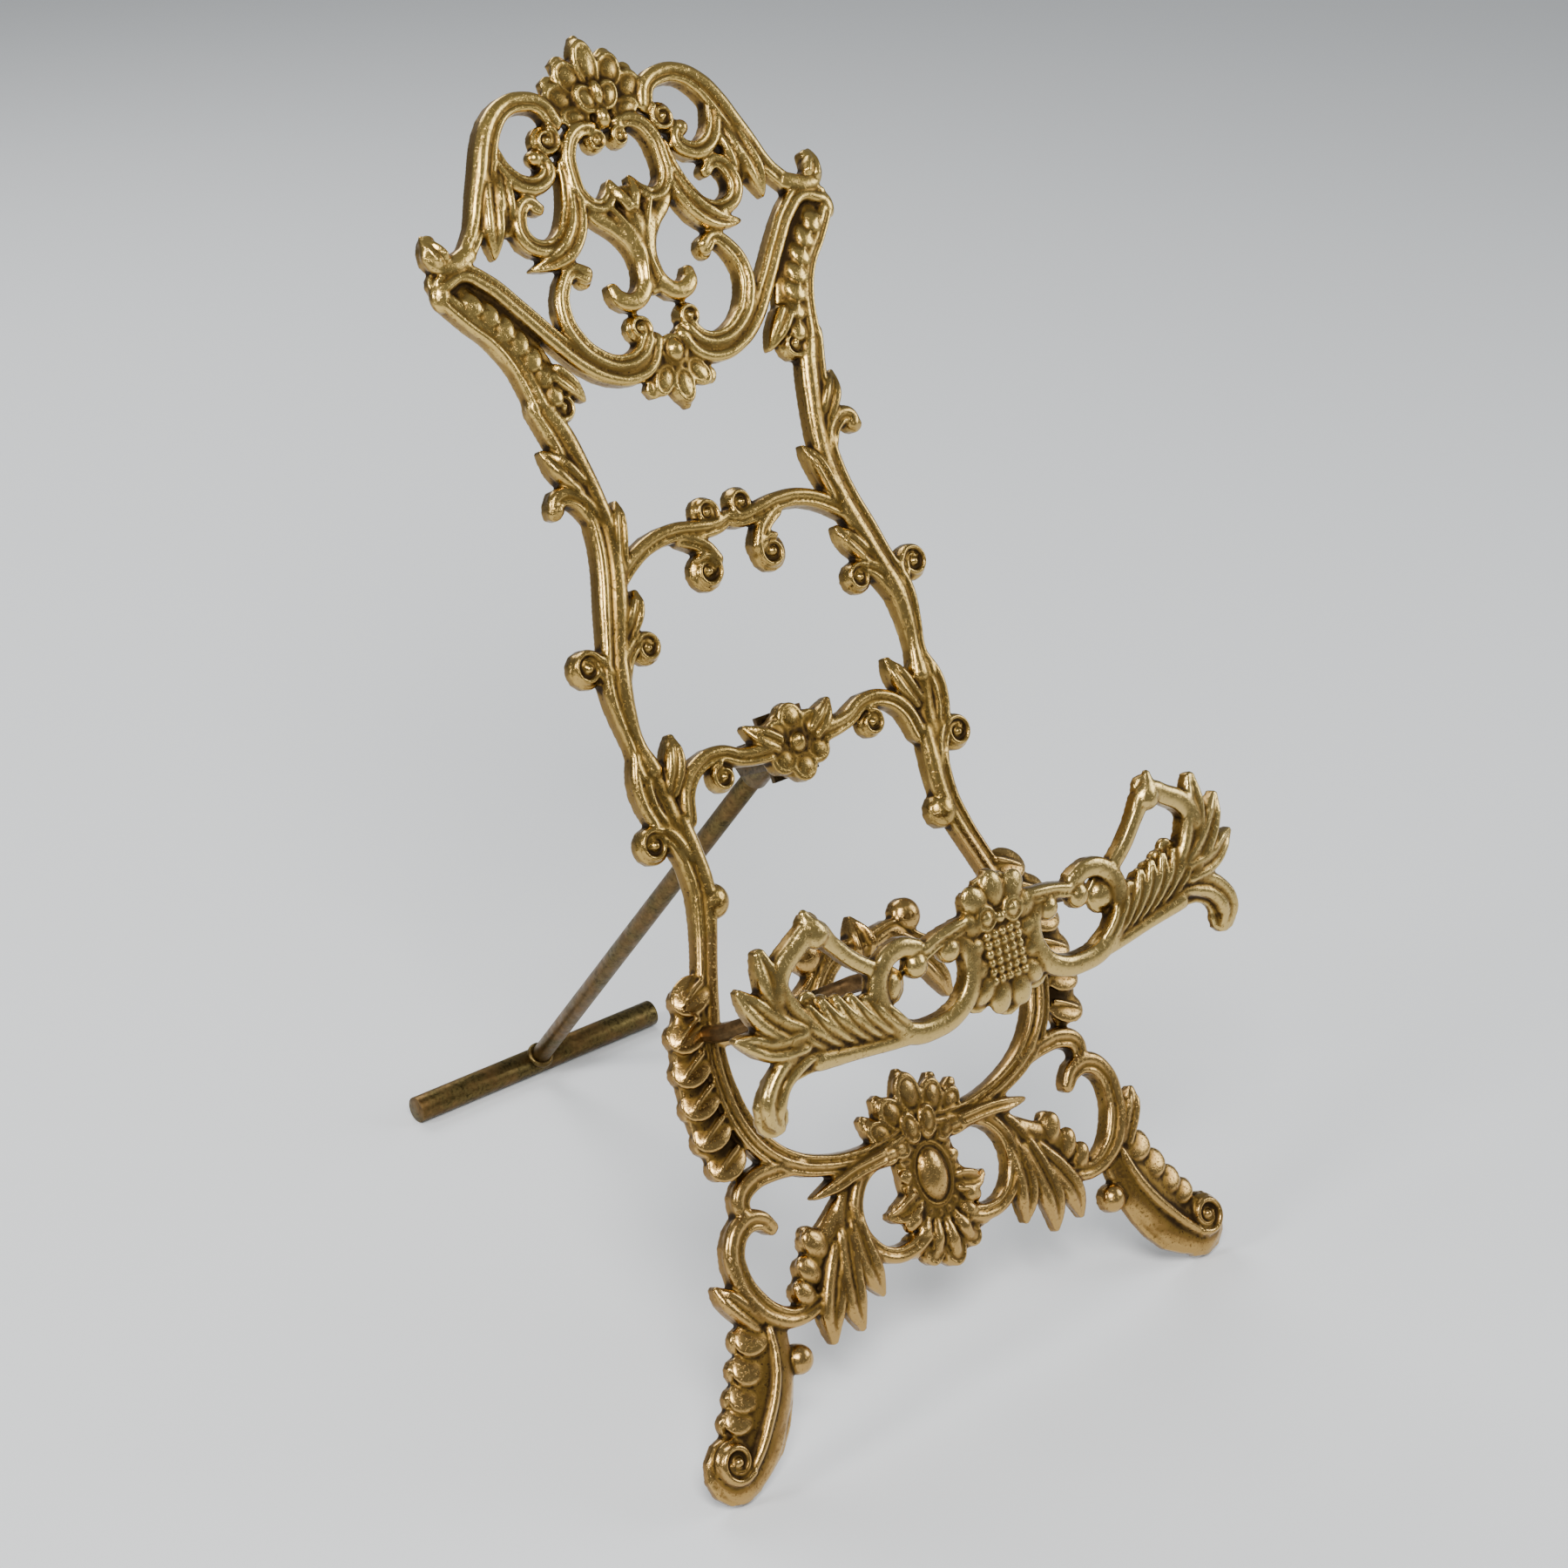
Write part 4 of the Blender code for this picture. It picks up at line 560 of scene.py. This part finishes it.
def read_hollows(casting):
    """Writes how deep each point of the skin lies between its neighbours, as the attribute hollow,
    which darkens the brass as patina and painted shade, and how far it turns away from the front,
    as the attribute side, which darkens the walls and the back as painted shade."""
    mesh = casting.data
    count = len(mesh.vertices)
    spots = np.empty(count * 3)
    mesh.vertices.foreach_get("co", spots)
    spots = spots.reshape(count, 3)
    facing = np.empty(count * 3)
    mesh.vertex_normals.foreach_get("vector", facing)
    facing = facing.reshape(count, 3)
    edges = np.empty(len(mesh.edges) * 2, dtype=np.int64)
    mesh.edges.foreach_get("vertices", edges)
    a, b = edges.reshape(-1, 2).T
    degree = np.maximum(np.bincount(a, minlength=count) + np.bincount(b, minlength=count), 1)[:, None]
    level, worn, hollow = spots, 0, np.zeros(count)
    for passes, weight in HOLLOWS:
        for _ in range(passes - worn):
            total = np.stack([np.bincount(a, level[b, i], count) + np.bincount(b, level[a, i], count)
                              for i in range(3)], axis=1)
            level = total / degree
        worn = passes
        hollow += weight * ((level - spots) * facing).sum(axis=1)
    # side: the walls and the back that turn away from the front, darkened in the brass as painted shade
    front = facing[:, 2]
    for word, values in (("hollow", np.clip(0.5 + hollow, 0, 1)), ("side", np.clip(1 - front * 1.6, 0, 1))):
        layer = mesh.attributes.new(word, "FLOAT", "POINT")
        layer.data.foreach_set("value", values.astype(np.float32))


def cut_between(casting, name, low, high):
    """A closed length of the casting between two heights of its plane."""
    piece = casting.copy()
    piece.data = casting.data.copy()
    piece.name = piece.data.name = name
    bpy.context.scene.collection.objects.link(piece)
    pick_only([piece])
    bpy.ops.object.mode_set(mode="EDIT")
    for at, up in ((low, True), (high, False)):
        if at is not None:
            bpy.ops.mesh.select_all(action="SELECT")
            bpy.ops.mesh.bisect(plane_co=(0, at, 0), plane_no=(0, 1, 0), use_fill=True, clear_inner=up,
                                clear_outer=not up)
            bpy.ops.mesh.mark_sharp()        # the cut's own face must not shade the skin beside it
    bpy.ops.object.mode_set(mode="OBJECT")
    return piece


def settle(piece, place, node_name, material):
    """Puts a length of a casting in its place, in the row frame, instead of its plain node."""
    piece.data.transform(place)
    piece.data.materials.clear()
    piece.data.materials.append(material)
    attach(piece, "frame")
    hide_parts(node_name)


def frame_relief(node, place):
    """The frame's ornament on its ground, as one skin in millimetres in its plane."""
    made = [ground_plate(node, place, GROUND)]
    for lines in (CREST, FINIAL, STILE, CROSS_RAILS, APRON):
        for name, (form, rise, points) in lines.items():
            made += lay_line(name, form, rise, points)
    for volute in VOLUTES.values():
        made += lay_volute(*volute)
    for x, v, radius, rise in BEADS:
        made += lay_dome(x, v, radius, radius, rise)
    made += lay_rosette() + lay_cabochon() + lay_acanthus() + lay_leg() + lay_finial() + lay_ledge_boss()
    made += husks_along(CREST["shoulder_panel"][2], HUSKS, 1.7)
    return cast("frame_skin", made, PLATE)


def gallery_relief(node, place):
    """The gallery's ornament on its ground, as one skin in millimetres in its plane."""
    made = [ground_plate(node, place, GALLERY_GROUND)]
    for name, (form, rise, points) in GALLERY.items():
        made += lay_line(name, form, rise, points, GALLERY_GROUND)
    for x, v, radius, rise in GALLERY_BEADS:
        made += lay_dome(x, v, radius, radius, rise, ground=GALLERY_GROUND)
    made += lay_cartouche(GALLERY_GROUND) + lay_plume(GALLERY_GROUND)
    return cast("gallery_skin", made, GALLERY_PLATE)


# ---- metals ------------------------------------------------------------------------------------
class Metal:
    """A metal's nodes, with short ways to add and join them."""

    def __init__(self, name):
        self.material = bpy.data.materials.new(name)
        self.material.use_nodes = True
        self.nodes, self.links = self.material.node_tree.nodes, self.material.node_tree.links
        self.shader = self.nodes["Principled BSDF"]
        self.shader.inputs["Metallic"].default_value = 1.0
        self.place = self.nodes.new("ShaderNodeTexCoord").outputs["Object"]

    def join(self, out, to):
        self.links.new(out, to)

    def noise(self, scale, detail=4.0, rough=0.55):
        node = self.nodes.new("ShaderNodeTexNoise")
        node.inputs["Scale"].default_value = scale
        node.inputs["Detail"].default_value = detail
        node.inputs["Roughness"].default_value = rough
        self.join(self.place, node.inputs["Vector"])
        return node.outputs["Fac"]

    def reading(self, word):
        node = self.nodes.new("ShaderNodeAttribute")
        node.attribute_name = word
        return node.outputs["Fac"]

    def scaled(self, value, by, plus):
        """value * by + plus"""
        node = self.nodes.new("ShaderNodeMath")
        node.operation = "MULTIPLY_ADD"
        self.join(value, node.inputs[0])
        node.inputs[1].default_value, node.inputs[2].default_value = by, plus
        return node.outputs[0]

    def sum(self, first, second, by, less=0.0):
        """first + (second - less) * by"""
        total = self.nodes.new("ShaderNodeMath")
        total.operation = "ADD"
        self.join(first, total.inputs[0])
        self.join(self.scaled(second, by, -less * by), total.inputs[1])
        return total.outputs[0]

    def ramp(self, value, stops):
        node = self.nodes.new("ShaderNodeValToRGB")
        band = node.color_ramp
        while len(band.elements) < len(stops):
            band.elements.new(0.5)
        for element, (at, colour) in zip(band.elements, stops):
            element.position = at
            element.color = (*colour, 1) if isinstance(colour, tuple) else (colour, colour, colour, 1)
        self.join(value, node.inputs["Fac"])
        return node.outputs["Color"]

    def blend(self, amount, one, other):
        node = self.nodes.new("ShaderNodeMix")
        node.data_type = "RGBA"
        self.join(amount, node.inputs["Factor"])
        self.join(one, node.inputs["A"])
        self.join(other, node.inputs["B"])
        return node.outputs["Result"]

    def bump(self, height, strength, depth):
        node = self.nodes.new("ShaderNodeBump")
        node.inputs["Strength"].default_value = strength
        node.inputs["Distance"].default_value = depth * MM
        self.join(height, node.inputs["Height"])
        self.join(node.outputs["Normal"], self.shader.inputs["Normal"])


def antique_brass(name, high, mid, age=1.0):
    """Cast brass, darkened all over and rubbed back: bright on what stands proud, brown patina with
    painted shade in the hollows, painted shade on the walls and the back that turn from the front,
    with small dark pits left from the sand."""
    metal = Metal(name)
    mottle, ground = 0.34, 0.33          # how much the mottling counts, and the level of patina and painted shade that it varies round
    # patina that stays in the hollows, with painted shade laid into them too
    patina_and_painted_shade = metal.sum(metal.noise(420, 5, 0.6), metal.reading("hollow"), age / mottle, 0.5)
    patina_and_painted_shade = metal.sum(metal.scaled(patina_and_painted_shade, mottle, ground), metal.noise(75, 3), 0.42, 0.5)
    pits = metal.ramp(metal.noise(1300, 3, 0.65), [(0.56, 0.0), (0.66, 1.0)])
    patina_and_painted_shade = metal.sum(patina_and_painted_shade, pits, 0.26)
    # painted shade: the brass darkens where its walls and back turn away from the front
    patina_and_painted_shade = metal.sum(patina_and_painted_shade, metal.reading("side"), 0.42)
    # brown patina and painted shade run down to near black at the dark end of this ramp
    tone = metal.ramp(patina_and_painted_shade, [(0.16, high), (0.40, mid), (0.62, (0.20, 0.115, 0.026)),
                             (0.80, (0.095, 0.055, 0.015)), (0.98, (0.035, 0.020, 0.008))])
    metal.join(tone, metal.shader.inputs["Base Color"])
    matt = metal.sum(patina_and_painted_shade, metal.noise(900, 4), 0.25, 0.5)
    rough = metal.ramp(matt, [(0.25, 0.21), (0.52, 0.33), (0.85, 0.58)])
    metal.join(rough, metal.shader.inputs["Roughness"])
    uneven = metal.sum(metal.noise(650, 5, 0.65), metal.noise(230, 2, 0.5), 0.9, 0.5)
    metal.bump(metal.sum(uneven, pits, -0.6), 0.32, 0.2)
    return metal.material


def aged_bronze(name, base, warm):
    """Drawn rod gone olive brown, with worn coppery patches and fine scuffs."""
    metal = Metal(name)
    patch = metal.ramp(metal.noise(95, 4, 0.6), [(0.42, 0.0), (0.60, 1.0)])
    speck = metal.ramp(metal.noise(1100, 3, 0.6), [(0.45, base), (0.66, tuple(c * 0.35 for c in base))])
    worn = metal.ramp(metal.noise(600, 4, 0.6), [(0.35, warm), (0.65, tuple(c * 0.55 for c in warm))])
    metal.join(metal.blend(patch, speck, worn), metal.shader.inputs["Base Color"])
    metal.join(metal.ramp(metal.noise(500, 4), [(0.3, 0.34), (0.7, 0.56)]), metal.shader.inputs["Roughness"])
    metal.bump(metal.noise(800, 5, 0.6), 0.3, 0.12)
    return metal.material


# ---- rods, hinge and strut ---------------------------------------------------------------------
def dressed(node_name, frame, body, material):
    """The turned or drawn piece with its facets smoothed and its sharp edges broken."""
    node = frame["nodes"][node_name]
    piece = node.copy()
    piece.data = node.data.copy()
    piece.parent = None
    piece.matrix_world = Matrix.Identity(4)
    piece.name = piece.data.name = node_name + "_finished"
    bpy.context.scene.collection.objects.link(piece)
    pick_only([piece])
    bpy.ops.object.mode_set(mode="EDIT")
    bpy.ops.mesh.select_all(action="SELECT")
    bpy.ops.mesh.remove_doubles(threshold=0.01 * MM)
    bpy.ops.mesh.dissolve_limited(angle_limit=radians(1))
    bpy.ops.object.mode_set(mode="OBJECT")
    edge = piece.modifiers.new("edge", "BEVEL")
    edge.width, edge.segments, edge.limit_method, edge.angle_limit = 0.25 * MM, 2, "ANGLE", radians(40)
    bpy.ops.object.modifier_apply(modifier="edge")
    bpy.ops.object.shade_smooth_by_angle(angle=radians(35))
    piece.data.materials.clear()
    piece.data.materials.append(material)
    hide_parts(node_name)
    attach(piece, body)


def middle_of(node_name):
    """The middle of a piece's box, in the row frame."""
    low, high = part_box(node_name)
    return (Vector(low) + Vector(high)) / 2


def braze(material):
    """The small fillet of braze where the strut enters the T bar."""
    bar, pin = middle_of("foot_bar"), middle_of("hinge_pin")
    along = (pin - bar).normalized()
    fillet = new_ring(2.9 * MM, 0.9 * MM)
    fillet.name = fillet.data.name = "braze"
    place = Matrix.Translation(bar + along * 3.2 * MM) @ along.to_track_quat("Z", "X").to_matrix().to_4x4()
    fillet.data.transform(place)
    bpy.ops.object.shade_smooth()
    fillet.data.materials.append(material)
    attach(fillet, "strut")


def studio():
    """Pale seamless floor, broad soft lights, and the camera to the left and above."""
    bpy.ops.mesh.primitive_plane_add(size=8)
    floor = bpy.context.object
    floor.name = "floor"
    paper = bpy.data.materials.new("pale_paper")
    paper.use_nodes = True
    sheet = paper.node_tree.nodes["Principled BSDF"]
    sheet.inputs["Base Color"].default_value = (0.78, 0.80, 0.82, 1)
    sheet.inputs["Roughness"].default_value = 0.9
    floor.data.materials.append(paper)

    def softbox(name, place, size, power, colour):
        data = bpy.data.lights.new(name, "AREA")
        data.shape, data.size, data.energy, data.color = "DISK", size, power, colour
        lamp = bpy.data.objects.new(name, data)
        lamp.location = place
        lamp.rotation_euler = (middle - Vector(place)).to_track_quat("-Z", "Y").to_euler()
        bpy.context.scene.collection.objects.link(lamp)

    middle = Vector((0, 0, 0.14))
    softbox("key", (-0.55, -0.75, 1.15), 0.6, 21, (1.0, 0.98, 0.95))
    softbox("side", (-1.1, 0.15, 0.75), 0.3, 7, (1.0, 0.99, 0.97))
    softbox("fill", (0.95, -0.55, 0.55), 0.6, 5, (0.93, 0.97, 1.0))
    softbox("back", (0.1, 0.9, 0.9), 0.7, 7, (1, 1, 1))

    world = bpy.data.worlds.new("room")
    world.use_nodes = True
    air = world.node_tree.nodes["Background"]
    air.inputs["Color"].default_value = (0.90, 0.94, 0.97, 1)
    air.inputs["Strength"].default_value = 0.3
    bpy.context.scene.world = world

    data = bpy.data.cameras.new("camera")
    data.lens, data.sensor_width, data.clip_start = 74, 36, 0.01
    camera = bpy.data.objects.new("camera", data)
    camera.location = (-0.446, -0.5385, 0.4698)
    aim = Vector((-0.0013, -0.0152, 0.1303))
    camera.rotation_euler = (aim - camera.location).to_track_quat("-Z", "Y").to_euler()
    bpy.context.scene.collection.objects.link(camera)
    bpy.context.scene.camera = camera


def main():
    """Casts the frame and the gallery, finishes the rods and the hinge, and lights the stand."""
    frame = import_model()
    low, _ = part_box("frame")
    frame_at = frame_place(low)
    gallery_at = gallery_place(frame_at)

    # painted light and shade: copies of one brass, lighter on the crest, the shoulders and the gallery,
    # darker on the stiles, the apron and the feet
    middle = antique_brass("antique_brass", (0.46, 0.300, 0.090), (0.200, 0.122, 0.031))
    crest = antique_brass("antique_brass_crest_painted_light", (0.62, 0.425, 0.130), (0.270, 0.168, 0.046))
    foot = antique_brass("antique_brass_foot_painted_shade", (0.46, 0.288, 0.095), (0.225, 0.126, 0.036))
    skin = frame_relief(frame["nodes"]["frame"], frame_at)
    read_hollows(skin)
    lengths = (("frame_feet", foot), ("frame_apron", foot), ("frame_stiles", middle),
               ("frame_shoulders", crest), ("frame_crest", crest))
    pieces = [(cut_between(skin, name, start, end), metal)
              for (name, metal), start, end in zip(lengths, (None, *SPLITS), (*SPLITS, None))]
    bpy.data.objects.remove(skin)
    for piece, metal in pieces:
        settle(piece, frame_at, "frame", metal)
    rail = gallery_relief(frame["nodes"]["gallery"], gallery_at)
    read_hollows(rail)
    # the gallery's copy of the brass is painted lighter and less darkened, as painted light
    ledge = antique_brass("antique_brass_gallery_painted_light", (0.56, 0.395, 0.14), (0.29, 0.187, 0.058), 0.85)
    settle(rail, gallery_at, "gallery", ledge)

    rod = aged_bronze("aged_bronze", (0.118, 0.086, 0.030), (0.175, 0.104, 0.038))
    # painted shade: a darker copy of the same bronze for the ledge rods and the hinge, which lie in shade
    dark = aged_bronze("dark_bronze_painted_shade", (0.075, 0.05, 0.022), (0.14, 0.08, 0.033))
    for name in ("ledge_rod_left", "ledge_rod_right", "ledge_screw_left", "ledge_screw_right",
                 "hinge_bracket", "hinge_pin", "bracket_rivet_left", "bracket_rivet_right"):
        dressed(name, frame, "frame", dark)
    for name in ("strut_eye", "strut_rod", "foot_bar"):
        dressed(name, frame, "strut", rod)
    braze(rod)
    studio()


main()
